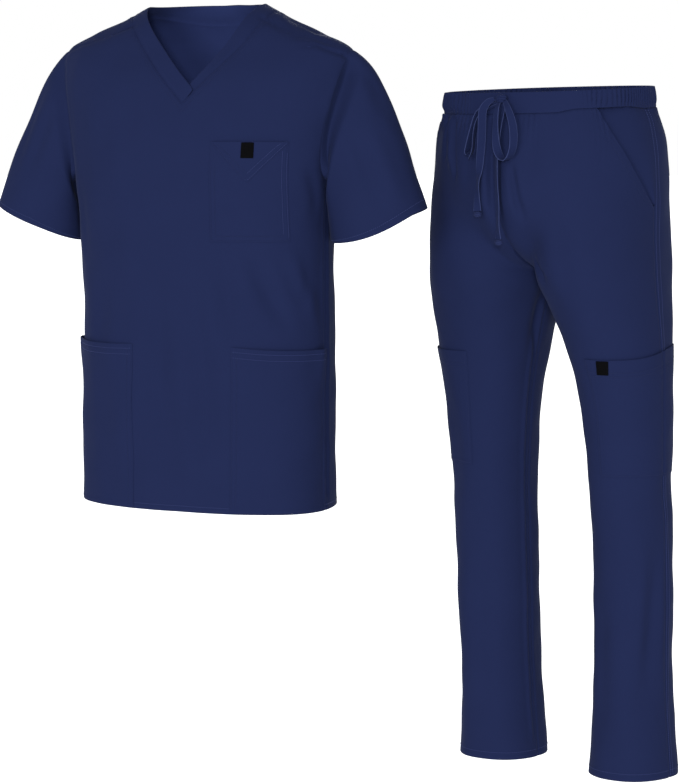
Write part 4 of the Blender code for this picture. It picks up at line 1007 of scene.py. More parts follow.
def sleeve_point(turn, s, cut):
    """A sleeve, on the left side: s 0 at the armhole and 1 at the hem, turn as in armhole."""
    turn, s = np.broadcast_arrays(np.asarray(turn, float), np.asarray(s, float))
    start = torso_at(armhole(turn))
    outer, inner = np.array([cut.x, cut.z]), np.array([cut.inner_x, cut.inner_z])
    middle, reach = (outer + inner) / 2, (outer - inner) / 2
    ring = middle + reach * np.cos(turn)[..., None]
    depth = SLEEVE_HALF_DEPTH * np.sin(turn)
    end = np.stack([ring[..., 0], depth, ring[..., 1]], -1)
    down = unit(np.array([reach[1], 0, -reach[0]]))
    end = end + cut.bow * np.clip(-np.sin(turn), 0, 1)[..., None] ** 2 * down
    upper = np.clip(np.cos(turn), 0, 1)[..., None]
    lower = np.clip(-np.cos(turn), 0, 1)[..., None]
    level = 1 - upper - lower
    leave = upper * (cut.out, 0.0, cut.down) + level * LEAVE_LEVEL + lower * LEAVE_LOWER
    arrive = down * (cut.arrive * upper + ARRIVE_LEVEL * level + ARRIVE_LOWER * lower)
    s = s[..., None]
    return (
        (2 * s**3 - 3 * s**2 + 1) * start
        + (s**3 - 2 * s**2 + s) * leave
        + (3 * s**2 - 2 * s**3) * end
        + (s**3 - s**2) * arrive
    )


def sleeve(cut):
    turn = np.concatenate([np.pi * HOLE_SHARE[:-1], np.pi + np.pi * HOLE_SHARE[:-1]])
    surface = lambda a, b: sleeve_point(a, b, cut)
    return lay(surface, turn[None], SLEEVE_SHARE[:, None], wraps=True, outward=-1)


def lay_band(seam, edge):
    """The cloth of a part of the neckband, from its seam to the neckline."""
    return lay_torso(seam + (edge - seam) * BAND_SHARE[:, None, None])


def front_band(point_x, reach_over, tuck):
    """A front half of the neckband, on the left side. At the V it is tucked in."""
    t = NECK_SHARE[::-1]
    seam = v_line(t, NECK_SEAM_Z, 0.0, V_SEAM_Z)
    cloth = lay_band(seam, v_line(t, NECK_Z, point_x, V_Z, reach_over))
    under = tuck * ease((t - 0.50) / 0.30)
    cloth.points = cloth.points - cloth.normal * under[None, :, None]
    return cloth


def back_band():
    seam = back_line(NECK_SHARE, NECK_SEAM_Z, BACK_SEAM_Z)
    half = lay_band(seam, back_line(NECK_SHARE, NECK_Z, BACK_NECK_Z))
    return joined(half, half.mirrored())


def through(places):
    """The two coordinates of a smooth line through some places."""
    return smooth(places, LINE_STEPS).T


def on_torso(side, *places):
    """A line on the front (side -1) or back (side 1), through places given by x and z."""
    return torso_face(*through(places), side)


def on_sleeve(cut, *places):
    """A line on the left sleeve, through places given by turn (in rounds) and share of its length."""
    turn, share = through(places)
    return sleeve_point(turn * 2 * np.pi, share, cut)


def mirrored(line):
    """The same kind of line on the right side."""
    return lambda *places: mirror(line(*places))


def creases_of(line, *rows):
    """Creases of one kind of line. Each row has three places of it, its width, depth and fade."""
    return [Crease(line(*row[:3]), *row[3:]) for row in rows]


def beside_seams():
    """The cloth turns sharply at the side seams: a ridge in front, a hollow behind."""
    z = np.linspace(HEM_Z + 0.004, UNDERARM_Z - 0.004, 60)
    ridge, hollow = torso_side(SIDE_SEAM_Y - 0.0040, z), torso_side(SIDE_SEAM_Y + 0.0060, z)
    creases = []
    for turned in SIDES.values():
        creases.append(Crease(turned(ridge), 0.0045, 0.0022, 0.06))
        creases.append(Crease(turned(hollow), 0.0065, -0.0064, 0.06))
    return creases


def top_creases():
    ridge = TORSO_FORM.point(0, np.linspace(-0.010, -0.046, 30))
    return [
        *(Crease(line + (0, 0.005, 0.013), 0.012, -0.0055, 0.3) for line in shoulder_seams()),
        *beside_seams(),
        Crease(ridge, 0.022, -0.0062, 0.35),
        *creases_of(
            partial(on_torso, -1),
            ((0.060, -0.340), (0.070, -0.410), (0.074, -0.500), 0.020, -0.0046, 0.5),
            ((0.038, -0.380), (0.042, -0.440), (0.042, -0.520), 0.022, 0.0030, 0.5),
            ((0.096, -0.328), (0.126, -0.408), (0.160, -0.480), 0.018, -0.0054, 0.5),
            ((0.148, -0.335), (0.170, -0.400), (0.182, -0.475), 0.015, 0.0036, 0.4),
            ((0.144, -0.100), (0.134, -0.135), (0.120, -0.165), 0.011, -0.0018, 0.4),
            ((0.176, -0.215), (0.184, -0.270), (0.178, -0.320), 0.013, -0.0024, 0.4),
            ((0.165, -0.360), (0.172, -0.400), (0.168, -0.440), 0.012, -0.0020, 0.4),
            ((-0.176, -0.235), (-0.165, -0.300), (-0.160, -0.390), 0.016, -0.0026, 0.4),
            ((-0.120, -0.350), (-0.128, -0.430), (-0.140, -0.520), 0.022, -0.0022, 0.4),
            ((-0.060, -0.560), (-0.070, -0.640), (-0.075, -0.720), 0.022, -0.0022, 0.4),
            ((0.020, -0.520), (0.012, -0.620), (0.016, -0.725), 0.026, 0.0024, 0.4),
        ),
        *creases_of(
            partial(on_torso, 1),
            ((0.150, -0.130), (0.120, -0.200), (0.095, -0.290), 0.017, -0.0030, 0.4),
            ((-0.155, -0.120), (-0.130, -0.210), (-0.110, -0.280), 0.016, -0.0028, 0.4),
            ((0.165, -0.330), (0.140, -0.420), (0.150, -0.540), 0.020, -0.0030, 0.4),
            ((-0.160, -0.300), (-0.150, -0.400), (-0.120, -0.500), 0.020, -0.0028, 0.4),
            ((0.030, -0.380), (0.045, -0.480), (0.040, -0.620), 0.024, -0.0024, 0.4),
            ((-0.050, -0.420), (-0.058, -0.560), (-0.052, -0.700), 0.024, 0.0026, 0.4),
        ),
        *creases_of(
            partial(on_sleeve, SLEEVE_LEFT),
            ((0.945, 0.10), (0.930, 0.32), (0.905, 0.52), 0.015, -0.0032, 0.4),
            ((0.975, 0.22), (0.965, 0.40), (0.950, 0.62), 0.014, -0.0022, 0.4),
            ((0.800, 0.22), (0.800, 0.55), (0.795, 0.95), 0.014, -0.0026, 0.4),
            ((0.850, 0.30), (0.862, 0.62), (0.866, 0.98), 0.016, 0.0022, 0.4),
            ((0.160, 0.10), (0.180, 0.40), (0.170, 0.80), 0.016, -0.0030, 0.4),
            ((0.290, 0.15), (0.280, 0.50), (0.290, 0.95), 0.014, -0.0026, 0.4),
        ),
        *creases_of(
            mirrored(partial(on_sleeve, SLEEVE_RIGHT)),
            ((0.930, 0.12), (0.905, 0.40), (0.870, 0.75), 0.015, -0.0030, 0.4),
            ((0.830, 0.08), (0.815, 0.35), (0.805, 0.72), 0.014, -0.0028, 0.4),
            ((0.150, 0.10), (0.170, 0.45), (0.160, 0.85), 0.016, -0.0030, 0.4),
            ((0.260, 0.15), (0.270, 0.50), (0.260, 0.92), 0.014, -0.0024, 0.4),
        ),
    ]


def top_seams():
    """The seam lines of the top, in its own frame before it is hung."""
    turn = np.linspace(0, 2 * np.pi, 91)
    back, low_front, high_front = (armhole(turn[a : b + 1]) for a, b in ((0, 45), (45, 70), (70, 90)))
    neck = v_line(np.linspace(0, 1, 50), NECK_SEAM_Z, 0.0, V_SEAM_Z)
    nape = back_line(np.linspace(0, 1, 30), NECK_SEAM_Z, BACK_SEAM_Z)
    side = torso_side(SIDE_SEAM_Y, np.linspace(HEM_Z, UNDERARM_Z, 60))
    halves = [Seam(side, 0.9 * SEAM_WIDTH, 1.6 * SEAM_DIP)]
    for line, width, depth in (
        (back, 1.0, 1.2),
        (low_front, 0.7, 0.5),
        (high_front, 1.0, 0.2),
        (neck, 1.0, 1.0),
        (nape, 1.0, 0.3),
    ):
        halves.append(Seam(torso_at(line), width * SEAM_WIDTH, depth * SEAM_DIP))
    whole = halves + [s._replace(line=mirror(s.line)) for s in halves]
    return whole + [Seam(line, 0.0040, 2.0 * SEAM_DIP) for line in shoulder_seams()]


def shoulder_seams():
    """The left and the right shoulder seam, which lie forward of the ridge."""
    left = (0.101, -0.020), (0.135, -0.036), (0.167, -0.050), (0.200, -0.064), (0.216, -0.071)
    right = (-0.100, -0.026), (-0.148, -0.043), (-0.190, -0.055), (-0.215, -0.064)
    return [on_torso(-1, *left), on_torso(-1, *right)]


def mouth(across, height, gape):
    """How far a patch pocket stands off: it is slack between its sewn edges, and most at its mouth."""
    belly = POCKET_SLACK * np.sin(np.pi * np.clip(height, 0, 1))
    return SEWN_GAP + np.sin(np.pi * across) ** 0.8 * (belly + gape * ease((height - 0.55) / 0.45))


def from_edges(cloth):
    """How far each point of a patch is from its nearest sewn edge, and from its top edge."""
    across = np.linalg.norm(np.diff(cloth.points, axis=1), axis=-1)
    rise = np.linalg.norm(np.diff(cloth.points, axis=0), axis=-1)
    run = np.pad(np.cumsum(across, axis=1), ((0, 0), (1, 0)))
    up = np.pad(np.cumsum(rise, axis=0), ((1, 0), (0, 0)))
    return np.minimum(np.minimum(run, run[:, -1:] - run), up), up[-1:] - up


def patch_height(cloth, lift, creases, seams, rows=EDGE_ROWS, mouth_rows=()):
    """A patch lies on its panel. Its edges are pressed thin, and its stitches draw grooves in it."""
    edge, drop = from_edges(cloth)
    wall = PATCH * (0.5 + 0.5 * ease(edge / PRESSED))
    groove = sum(bell(edge - row, GROOVE_WIDTH) for row in rows)
    groove = groove + sum(bell(drop - row, GROOVE_WIDTH) for row in mouth_rows)
    return relief(cloth.points, creases, seams) + lift + wall - GROOVE * groove, wall


def grid_of(columns, rows, fine=0.35):
    """The shares across and up of a patch, closer together at its edges."""
    return spread(columns, low=fine, high=fine)[None], spread(rows, low=fine, high=fine)[:, None]


def chest_share(x, z):
    """The shares across and up of the chest pocket at x and z."""
    left, right, bottom, top = CHEST_POCKET
    return (x - left) / (right - left), (z - bottom) / (top - bottom)


def label_grid(x, top, length):
    """The x and z of a label, which hangs from the mouth of a pocket."""
    across, drop = np.linspace(-1, 1, 9)[None], np.linspace(1, 0.04, 11)[:, None]
    return x + LABEL_HALF * across, top - length * drop


def chest_pocket():
    left, right, bottom, top = CHEST_POCKET
    across, height = grid_of(60, 70)
    cloth = lay(torso_face, left + (right - left) * across, bottom + (top - bottom) * height)
    return cloth, mouth(across, height, CHEST_GAPE)


def chest_facing():
    """The pointed facing over the mouth of the chest pocket."""
    left, right, _, top = CHEST_POCKET
    across, height = grid_of(60, 36)
    x = (left + right) / 2 + (right - left) / 2 * (0.03 + 0.97 * height) * (2 * across - 1)
    z = CHEST_POINT_Z + (top - CHEST_POINT_Z) * height + 0 * across
    return lay(torso_face, x, z), mouth(*chest_share(x, z), CHEST_GAPE) + PATCH + SEWN_GAP


def lower_mouth(across, lift):
    """The height of a lower pocket's mouth: it is lifted at the inner and outer ends by these."""
    return LOWER_POCKET_Z + lift[0] + (lift[1] - lift[0]) * across - LOWER_SAG * np.sin(np.pi * across)


def lower_place(across, z, inset=0.0, outset=0.002):
    """The angles of the shares across a lower pocket, from its inner edge almost to the side seam."""
    inner = TORSO_FORM.angle_at_x(LOWER_POCKET_X + inset, z, -1)
    outer = TORSO_FORM.angle_at_y(SIDE_SEAM_Y - outset, z)
    return inner + (outer - inner) * across


def lower_pocket(lift):
    """A lower pocket, on the left side, from its mouth down to the hem."""
    across, height = grid_of(70, 90)
    z = HEM_Z + (lower_mouth(across, lift) - HEM_Z) * height
    cloth = lay(TORSO_FORM.point, lower_place(across, z), z)
    corner = LOWER_CORNER * bell(across - 0.93, 0.08) * ease((height - 0.72) / 0.28)
    return cloth, mouth(across, height, LOWER_GAPE) + corner


def chest_label():
    x, z = label_grid(CHEST_LABEL_X, CHEST_POCKET[3], CHEST_LABEL)
    lift = mouth(*chest_share(x, z), CHEST_GAPE) + 2 * (PATCH + SEWN_GAP) + 0.0002
    return lay(torso_face, x, z), lift


def sleeve_root(cloth, depth):
    """How far the front of a sleeve falls in beside the armhole, before it comes out again."""
    away = np.linalg.norm(cloth.points - cloth.points[-1:], axis=-1)
    front = ease(-cloth.points[-1:, :, 1] / ROOT_FRONT)
    fall = 1 - (1 - np.clip(away / ROOT_AT, 0, 1)) ** 2
    return depth * front * fall * (1 - ease((away - ROOT_AT) / ROOT_WIDTH))


def turned_up(cloth, row):
    """The wall of a panel whose hem is stitched at a height."""
    return np.where(cloth.points[..., 2] < row + 0.001, HEM_WALL, CLOTH)


def join_top(front, back, left, right):
    """The side seams, the armholes and the shoulder seams."""
    mid, last = NECK_COLUMNS + SHOULDER_COLUMNS, 2 * (NECK_COLUMNS + SHOULDER_COLUMNS)
    ring = 2 * ARMHOLE_ROWS
    rows = np.arange(SIDE_ROWS, SIDE_ROWS + ARMHOLE_ROWS + 1)
    up = np.arange(SIDE_ROWS + 1)
    up_front = np.arange(ARMHOLE_ROWS, ring + 1) % ring
    up_back = np.arange(ARMHOLE_ROWS, -1, -1)
    flip = lambda k: (ring - 1 - k) % ring
    join(front, (up, last), back, (up, 0))
    join(front, (up, 0), back, (up, last))
    join(front, (rows, last), left, (-1, up_front))
    join(back, (rows, 0), left, (-1, up_back))
    join(front, (rows, 0), right, (-1, flip(up_front)))
    join(back, (rows, last), right, (-1, flip(up_back)))
    high, low = np.arange(mid + NECK_COLUMNS, last + 1), np.arange(SHOULDER_COLUMNS, -1, -1)
    join(front, (-1, high), back, (-1, low))
    join(front, (-1, low), back, (-1, high))


def make_top(finishes):
    creases, seams = top_creases(), top_seams()
    front, back = body_panel(-1), body_panel(1)
    left, right = sleeve(SLEEVE_LEFT), sleeve(SLEEVE_RIGHT).mirrored()
    join_top(front, back, left, right)
    sleeve_wall = np.where(SLEEVE_SHARE[:, None] > SLEEVE_HEM_SHARE, HEM_WALL, CLOTH)
    band_wall = CLOTH + (BAND - CLOTH) * ease(BAND_SHARE[:, None] / 0.6)
    over = front_band(-V_X, OVERLAP_X, 0.0).mirrored()
    for name, cloth, wall, root, soft in (
        ("top_front", front, turned_up(front, HEM_Z + HEM_ROW), 0, ("bottom",)),
        ("top_back", back, turned_up(back, HEM_Z + HEM_ROW), 0, ("bottom",)),
        ("top_sleeve_left", left, sleeve_wall, ROOT_DEPTH_LEFT, ("bottom",)),
        ("top_sleeve_right", right, sleeve_wall, ROOT_DEPTH_RIGHT, ("bottom",)),
        ("top_neckband_left", front_band(V_X, 0.0, TUCK), band_wall, 0, ("top",)),
        ("top_neckband_right", over, band_wall, 0, ("top", "right")),
        ("top_neckband_back", back_band(), band_wall, 0, ("top",)),
    ):
        cloth.height = relief(cloth.points, creases, seams)
        if root:
            cloth.height -= sleeve_root(cloth, root)
        sew(name, cloth, wall, finishes["cloth"], hung, soft, finishes["inside"])
    for name, (cloth, lift), on in (
        ("top_pocket_left", lower_pocket(LOWER_LIFT_LEFT), "top_front"),
        ("top_pocket_right", lower_pocket(LOWER_LIFT_RIGHT), "top_front"),
        ("top_pocket_chest", chest_pocket(), "top_front"),
        ("top_pocket_chest_facing", chest_facing(), "top_pocket_chest"),
        ("top_pocket_chest_label", chest_label(), "top_pocket_chest_facing"),
    ):
        if name == "top_pocket_right":
            cloth, lift = cloth.mirrored(), lift[:, ::-1]
        is_label = name.endswith("label")
        mouth_rows = () if "chest" in name else LOWER_MOUTH_ROWS
        edge_rows = () if is_label else EDGE_ROWS
        cloth.height, wall = patch_height(cloth, lift, creases, seams, edge_rows, mouth_rows)
        made = sew(name, cloth, wall, finishes["label" if is_label else "cloth"], hung)


# ---------------------------------------------------------------- the trousers

LEG_COLUMNS = 92
WAIST_COLUMNS, WAIST_ROWS = 1280, 13
LOW_ROWS, BEND_ROWS, HIGH_ROWS = 139, 30, 46


def trouser_point(side, share, z):
    """The left half of the front (side -1) or back (side 1): share 0 is the rise seam or inseam and
    1 the outseam."""
    share, z = np.broadcast_arrays(np.asarray(share, float), np.asarray(z, float))
    hip = HIP_FORM.point(side * (1 - share) * np.pi / 2, z)
    leg = LEG_FORM.point(side * (1 - share) * np.pi, z)
    drop = np.clip((RISE_CURVE_Z - z) / (RISE_CURVE_Z - CROTCH_Z), 0, 1)
    at_seam = 1 - np.sqrt(1 - drop**2)
    away = ease(share / 0.6)
    beyond = ease((RISE_CURVE_Z + 0.03 - z) / (RISE_CURVE_Z + 0.03 - CROTCH_Z + 0.06 * away))
    beside = ease((RISE_CURVE_Z - z) / (RISE_CURVE_Z - CROTCH_Z + 0.04)) ** 1.5
    near_seam = at_seam + (beside - at_seam) * ease((share - 0.08) / 0.25)
    to_leg = (near_seam + (beyond - near_seam) * away)[..., None]
    points = hip * (1 - to_leg) + leg * to_leg
    points[..., 0] = np.where((share <= 0) & (z >= CROTCH_Z), 0.0, points[..., 0])
    return points


def slant_share(z):
    """Where the slant pocket's mouth, and so the front panel's edge, is at a height."""
    rise = np.clip((z - SLANT_LOW_Z) / (-WAISTBAND - SLANT_LOW_Z), 0, 1)
    return 1 - (1 - SLANT_TOP_SHARE) * rise**0.8


def trouser_rows():
    """The heights of the panels' rows, from the hem to behind the waistband."""
    low = TROUSER_HEM_Z + (CROTCH_Z - TROUSER_HEM_Z) * spread(LOW_ROWS, low=0.3, reach=0.1)
    curve = np.radians(np.linspace(90, 0, BEND_ROWS))[1:-1]
    bend = RISE_CURVE_Z + (CROTCH_Z - RISE_CURVE_Z) * np.sin(curve)
    top = -WAISTBAND - WAIST_GAP
    high = RISE_CURVE_Z + (top - RISE_CURVE_Z) * spread(HIGH_ROWS, high=0.3, reach=0.3)
    z = np.concatenate([low, bend, high, -WAISTBAND + UNDER_BAND])
    z[np.argmin(np.abs(z - SLANT_LOW_Z))] = SLANT_LOW_Z
    return z


def trouser_front(share, z):
    return trouser_point(-1, share, z)


def trouser_back(share, z):
    return trouser_point(1, share, z)


def trouser_panels():
    z = trouser_rows()[:, None]
    column = spread(LEG_COLUMNS, low=0.4, high=0.4)[None]
    front = lay(trouser_front, column * slant_share(z), z)
    return front, lay(trouser_back, column[:, ::-1] + 0 * z, z, outward=-1)


def gathers(points):
    """The elastic's gathers: how strong they are at each place round the waist, and their wave."""
    x, y, z = points[..., 0], points[..., 1], points[..., 2]
    right, left = ease((-x - FLAT_RIGHT) / 0.014), ease((x - FLAT_LEFT) / 0.040)
    strength = np.where(y < 0, 2.0 * right + left, 1.0)
    run = WAIST_RADIUS * np.arctan2(y / WAIST_HALF_DEPTH, x / WAIST_HALF)
    share = z / WAISTBAND
    phase = run / GATHER_PITCH + 0.35 * np.sin(run / 0.021) + 0.22 * np.sin(run / 0.013 + 1)
    phase = 2 * np.pi * phase + 0.9 * np.sin(run / 0.009 + 2.2 * share)
    phase = phase + 0.5 * np.sin(run / 0.031 - 3.0 * share)
    depth = 0.62 + 0.24 * np.sin(run / 0.0087 + 2.6 * share) + 0.22 * np.sin(run / 0.017 - 1.9 * share + 2)
    return strength, (2 * np.abs(np.sin(phase / 2)) ** 0.75 - 1) * depth


def waist_share(z):
    """A height's share of the waistband."""
    return (z + WAISTBAND) / WAISTBAND


def gather_share(z):
    """The gathers' depth at a height on the waistband: they are flatter at its lower seam."""
    share = waist_share(z)
    return (0.25 + 0.75 * ease(share / 0.35)) * (0.80 + 0.20 * np.sin(np.pi * share))


def tucked(cloth):
    """The cloth's height, where its top is sewn in behind the gathers of the waistband."""
    z = cloth.points[..., 2]
    strength, _ = gathers(cloth.points)
    behind = BAND_PROUD - 1.1 * strength * GATHER * gather_share(z) - BAND - SEWN_GAP
    return np.where(z > -WAISTBAND, behind, cloth.height)


def waistband():
    angle = np.linspace(0, 2 * np.pi, WAIST_COLUMNS, endpoint=False)[None]
    z = -WAISTBAND + WAISTBAND * spread(WAIST_ROWS, low=0.4, high=0.4, reach=0.4)[:, None]
    cloth = lay(HIP_FORM.point, angle, z, wraps=True)
    cloth.normal[..., 2] = 0
    cloth.normal = unit(cloth.normal)
    return cloth


def pocket_facing():
    """The cloth behind the left slant pocket's mouth."""
    low, high = SLANT_LOW_Z - 0.014, -WAISTBAND - WAIST_GAP
    z = np.concatenate([low + (high - low) * np.linspace(0, 1, 40), -WAISTBAND + UNDER_BAND])[:, None]
    start = slant_share(z) - FACING_UNDER
    share = start + (1.0 - start) * np.linspace(0, 1, 34)[None]
    past_mouth = (share - slant_share(z)) / np.maximum(1.0 - slant_share(z), 0.02)
    cloth = lay(trouser_front, share, z)
    return cloth, -FACING_DROP * (1 - ease(past_mouth / 0.9))


def cargo_mouth(across):
    """The height of the cargo pocket's mouth, which rises towards the back."""
    return CARGO_TOP_Z + CARGO_RISE * ease((across - 0.3) / 0.7)


def cargo_turn(across):
    """The angle at a share across the cargo pocket."""
    return (CARGO_TURNS[0] + (CARGO_TURNS[1] - CARGO_TURNS[0]) * across) * 2 * np.pi


def cargo_pocket():
    """The left cargo pocket, wrapped round the outseam."""
    across, height = grid_of(72, 70)
    z = CARGO_BOTTOM_Z + (cargo_mouth(across) - CARGO_BOTTOM_Z) * height
    return lay(LEG_FORM.point, cargo_turn(across) + 0 * z, z), mouth(across, height, CARGO_GAPE)


def cargo_label():
    x, z = label_grid(CARGO_LABEL_X, CARGO_TOP_Z, CARGO_LABEL)
    turn = LEG_FORM.angle_at_x(x + CARGO_LABEL_LEAN * (z - CARGO_TOP_Z), z, -1)
    across = (turn / (2 * np.pi) - CARGO_TURNS[0]) / (CARGO_TURNS[1] - CARGO_TURNS[0])
    height = (z - CARGO_BOTTOM_Z) / (CARGO_TOP_Z - CARGO_BOTTOM_Z)
    return lay(LEG_FORM.point, turn, z), mouth(across, height, CARGO_GAPE) + PATCH + 0.0003


def on_leg(*places):
    """A line on the left leg, through places given by turn (in rounds) and z."""
    turn, z = through(places)
    return LEG_FORM.point(turn * 2 * np.pi, z)


def on_seat(*places):
    """A line on the left half of the seat, through places given by share and z."""
    return trouser_back(*through(places))


def on_front(*places):
    """A line on the front of the trousers, through places given by x and z."""
    x, z = through(places)
    grid = trouser_front(np.linspace(0, 1, 240)[:, None], z[None])
    nearest_share = np.abs(grid[..., 0] - np.abs(x)).argmin(0)
    line = grid[nearest_share, np.arange(len(z))]
    line[:, 0] *= np.sign(x)
    return line


def inseam_creases():
    """The cloth turns sharply at the inseams: a ridge in front and a hollow behind."""
    before = on_leg((-0.465, -0.345), (-0.465, -0.60), (-0.463, -0.85), (-0.470, -0.99))
    behind = on_leg((-0.486, -0.345), (-0.486, -0.60), (-0.485, -0.85), (-0.490, -0.99))
    thigh = on_leg((-0.468, -0.272), (-0.474, -0.320), (-0.480, -0.400))
    return [
        Crease(before, 0.0055, 0.0016, 0.05),
        Crease(behind, 0.0060, -0.0036, 0.05),
        Crease(mirror(before), 0.0055, 0.0018, 0.05),
        Crease(mirror(behind), 0.0060, -0.0042, 0.05),
        Crease(mirror(thigh), 0.016, -0.0070, 0.4),
    ]


def trouser_creases():
    return [
        *inseam_creases(),
        *creases_of(
            on_leg,
            ((-0.050, -0.640), (-0.080, -0.760), (-0.105, -0.880), 0.014, -0.0034, 0.4),
            ((-0.115, -0.600), (-0.135, -0.740), (-0.155, -0.900), 0.014, 0.0024, 0.4),
            ((0.020, -0.620), (0.000, -0.760), (-0.010, -0.930), 0.014, 0.0024, 0.4),
            ((-0.300, -0.700), (-0.290, -0.840), (-0.300, -0.990), 0.016, -0.0022, 0.4),
            ((0.240, -0.380), (0.260, -0.480), (0.230, -0.600), 0.018, -0.0030, 0.4),
            ((0.180, -0.640), (0.205, -0.780), (0.190, -0.930), 0.018, -0.0030, 0.4),
            ((0.330, -0.540), (0.320, -0.700), (0.335, -0.860), 0.016, 0.0024, 0.4),
        ),
        *creases_of(
            mirrored(on_leg),
            ((-0.300, -0.660), (-0.280, -0.800), (-0.290, -0.960), 0.016, -0.0024, 0.4),
            ((-0.180, -0.420), (-0.190, -0.540), (-0.170, -0.680), 0.018, -0.0022, 0.4),
            ((-0.060, -0.620), (-0.085, -0.760), (-0.070, -0.900), 0.016, -0.0030, 0.4),
            ((0.240, -0.380), (0.255, -0.500), (0.220, -0.620), 0.018, -0.0030, 0.4),
            ((0.190, -0.660), (0.210, -0.800), (0.180, -0.950), 0.018, -0.0028, 0.4),
        ),
        *creases_of(
            on_front,
            ((-0.006, -0.004), (-0.004, -0.090), (0.000, -0.190), 0.0095, -0.0145, 0.22),
            ((-0.022, -0.010), (-0.020, -0.080), (-0.016, -0.150), 0.0085, 0.0030, 0.3),
            ((0.026, -0.092), (0.033, -0.128), (0.042, -0.190), 0.0075, -0.0052, 0.35),
            ((0.032, -0.232), (0.044, -0.252), (0.066, -0.278), 0.008, -0.0062, 0.4),
            ((-0.089, -0.002), (-0.083, -0.070), (-0.077, -0.132), 0.0055, -0.0090, 0.28),
            ((-0.100, -0.002), (-0.095, -0.065), (-0.088, -0.120), 0.0055, 0.0036, 0.28),
            ((-0.112, -0.002), (-0.108, -0.060), (-0.104, -0.105), 0.0060, -0.0050, 0.28),
            ((-0.060, -0.040), (-0.064, -0.090), (-0.062, -0.150), 0.014, 0.0020, 0.4),
            ((0.062, -0.036), (0.058, -0.080), (0.060, -0.140), 0.016, -0.0016, 0.4),
            ((0.095, -0.160), (0.100, -0.230), (0.112, -0.300), 0.020, -0.0018, 0.4),
        ),
        *creases_of(
            on_seat,
            ((0.60, -0.020), (0.58, -0.085), (0.58, -0.180), 0.036, -0.0080, 0.35),
            ((0.05, -0.100), (0.20, -0.170), (0.34, -0.230), 0.016, -0.0026, 0.4),
            ((0.15, -0.250), (0.30, -0.280), (0.50, -0.290), 0.014, -0.0026, 0.4),
        ),
        *creases_of(
            mirrored(on_seat),
            ((0.06, -0.110), (0.22, -0.185), (0.38, -0.225), 0.016, -0.0026, 0.4),
            ((0.12, -0.255), (0.30, -0.290), (0.52, -0.285), 0.014, -0.0026, 0.4),
        ),
    ]


def trouser_seams():
    """The seam lines of the trousers, in their own frame."""
    outseam = trouser_front(1.0, np.linspace(TROUSER_HEM_Z, SLANT_LOW_Z, 90))
    inseam = trouser_front(0.0, np.linspace(TROUSER_HEM_Z, CROTCH_Z - 1e-4, 80))
    z = np.linspace(CROTCH_Z, -WAISTBAND, 40)
    waist = HIP_FORM.point(np.linspace(0, 2 * np.pi, 120), -WAISTBAND)
    lines = [outseam, inseam, mirror(outseam), mirror(inseam)]
    lines += [trouser_front(0.0, z), trouser_back(0.0, z), waist]
    return [Seam(line, SEAM_WIDTH, SEAM_DIP) for line in lines]


def below_waist(cloth):
    """The gathers go on as small folds under the waistband, and at two places of its flat front."""
    strength, wave = gathers(cloth.points)
    x, y, z = np.moveaxis(cloth.points, -1, 0)
    tucks = sum(size * bell(x - at, width) for at, width, size in FLAT_TUCKS)
    strength = np.maximum(strength, np.where(y < 0, 0.8 * tucks, 0))
    drop = -WAISTBAND - z
    length = 0.022 + 0.010 * np.sin(90 * x + 70 * y)
    return FOLD_DEPTH * strength * wave * np.exp(-drop / length) * ease(drop / 0.002)


def join_trousers(front, back, front_right, back_right):
    """The outseams, the inseams and the rise."""
    z = trouser_rows()
    crotch = int(np.argmin(np.abs(z - CROTCH_Z)))
    slant = int(np.argmin(np.abs(z - SLANT_LOW_Z)))
    legs, outseam = np.arange(crotch + 1), np.arange(slant + 1)
    rise = np.arange(crotch, len(z))
    for one, other, last in ((front, back, -1), (front_right, back_right, 0)):
        first = -1 - last
        join(one, (outseam, last), other, (outseam, first))
        join(one, (legs, first), other, (legs, last))
    join(front, (rise, 0), front_right, (rise, -1))
    join(back, (rise, -1), back_right, (rise, 0))


def make_trousers(finishes):
    creases, seams = trouser_creases(), trouser_seams()
    front, back = trouser_panels()
    front_right, back_right = front.mirrored(), back.mirrored()
    join_trousers(front, back, front_right, back_right)
    for name, cloth in (
        ("trouser_front_left", front),
        ("trouser_front_right", front_right),
        ("trouser_back_left", back),
        ("trouser_back_right", back_right),
    ):
        cloth.height = relief(cloth.points, creases, seams) + below_waist(cloth)
        cloth.height = tucked(cloth)
        wall = turned_up(cloth, TROUSER_HEM_Z + TROUSER_HEM_ROW)
        sew(name, cloth, wall, finishes["cloth"], placed, ("bottom",))
    band = waistband()
    strength, wave = gathers(band.points)
    z = band.points[..., 2]
    band.height = BAND_PROUD + strength * wave * GATHER * gather_share(z)
    band.height = band.height + BAND_BULGE * np.sin(np.pi * waist_share(z))
    sew("trouser_waistband", band, BAND, finishes["cloth"], placed)
    facing, drop = pocket_facing()
    cargo, lift = cargo_pocket()
    for side, turn in (("left", 1), ("right", -1)):
        if side == "right":
            facing, cargo = facing.mirrored(), cargo.mirrored()
        on = ["trouser_front_" + side]
        facing.height = relief(facing.points, creases, seams) + drop[:, ::turn]
        behind = facing.points[..., 2] > -WAISTBAND
        facing.height = tucked(facing) - behind * (CLOTH + SEWN_GAP)
        name = "trouser_pocket_facing_" + side
        sew(name, facing, PATCH, finishes["cloth"], placed)
        cargo.height, wall = patch_height(
            cargo, lift[:, ::turn], creases, seams, mouth_rows=CARGO_MOUTH_ROWS
        )
        name = "trouser_cargo_pocket_" + side
        sew(name, cargo, wall, finishes["cloth"], placed)
    label, lift = cargo_label()
    label.height, wall = patch_height(label, lift, creases, seams, ())
    name, on = "trouser_cargo_pocket_label", ["trouser_cargo_pocket_left"]
    made = sew(name, label, wall, finishes["label"], placed)


# ---------------------------------------------------------------- stitching


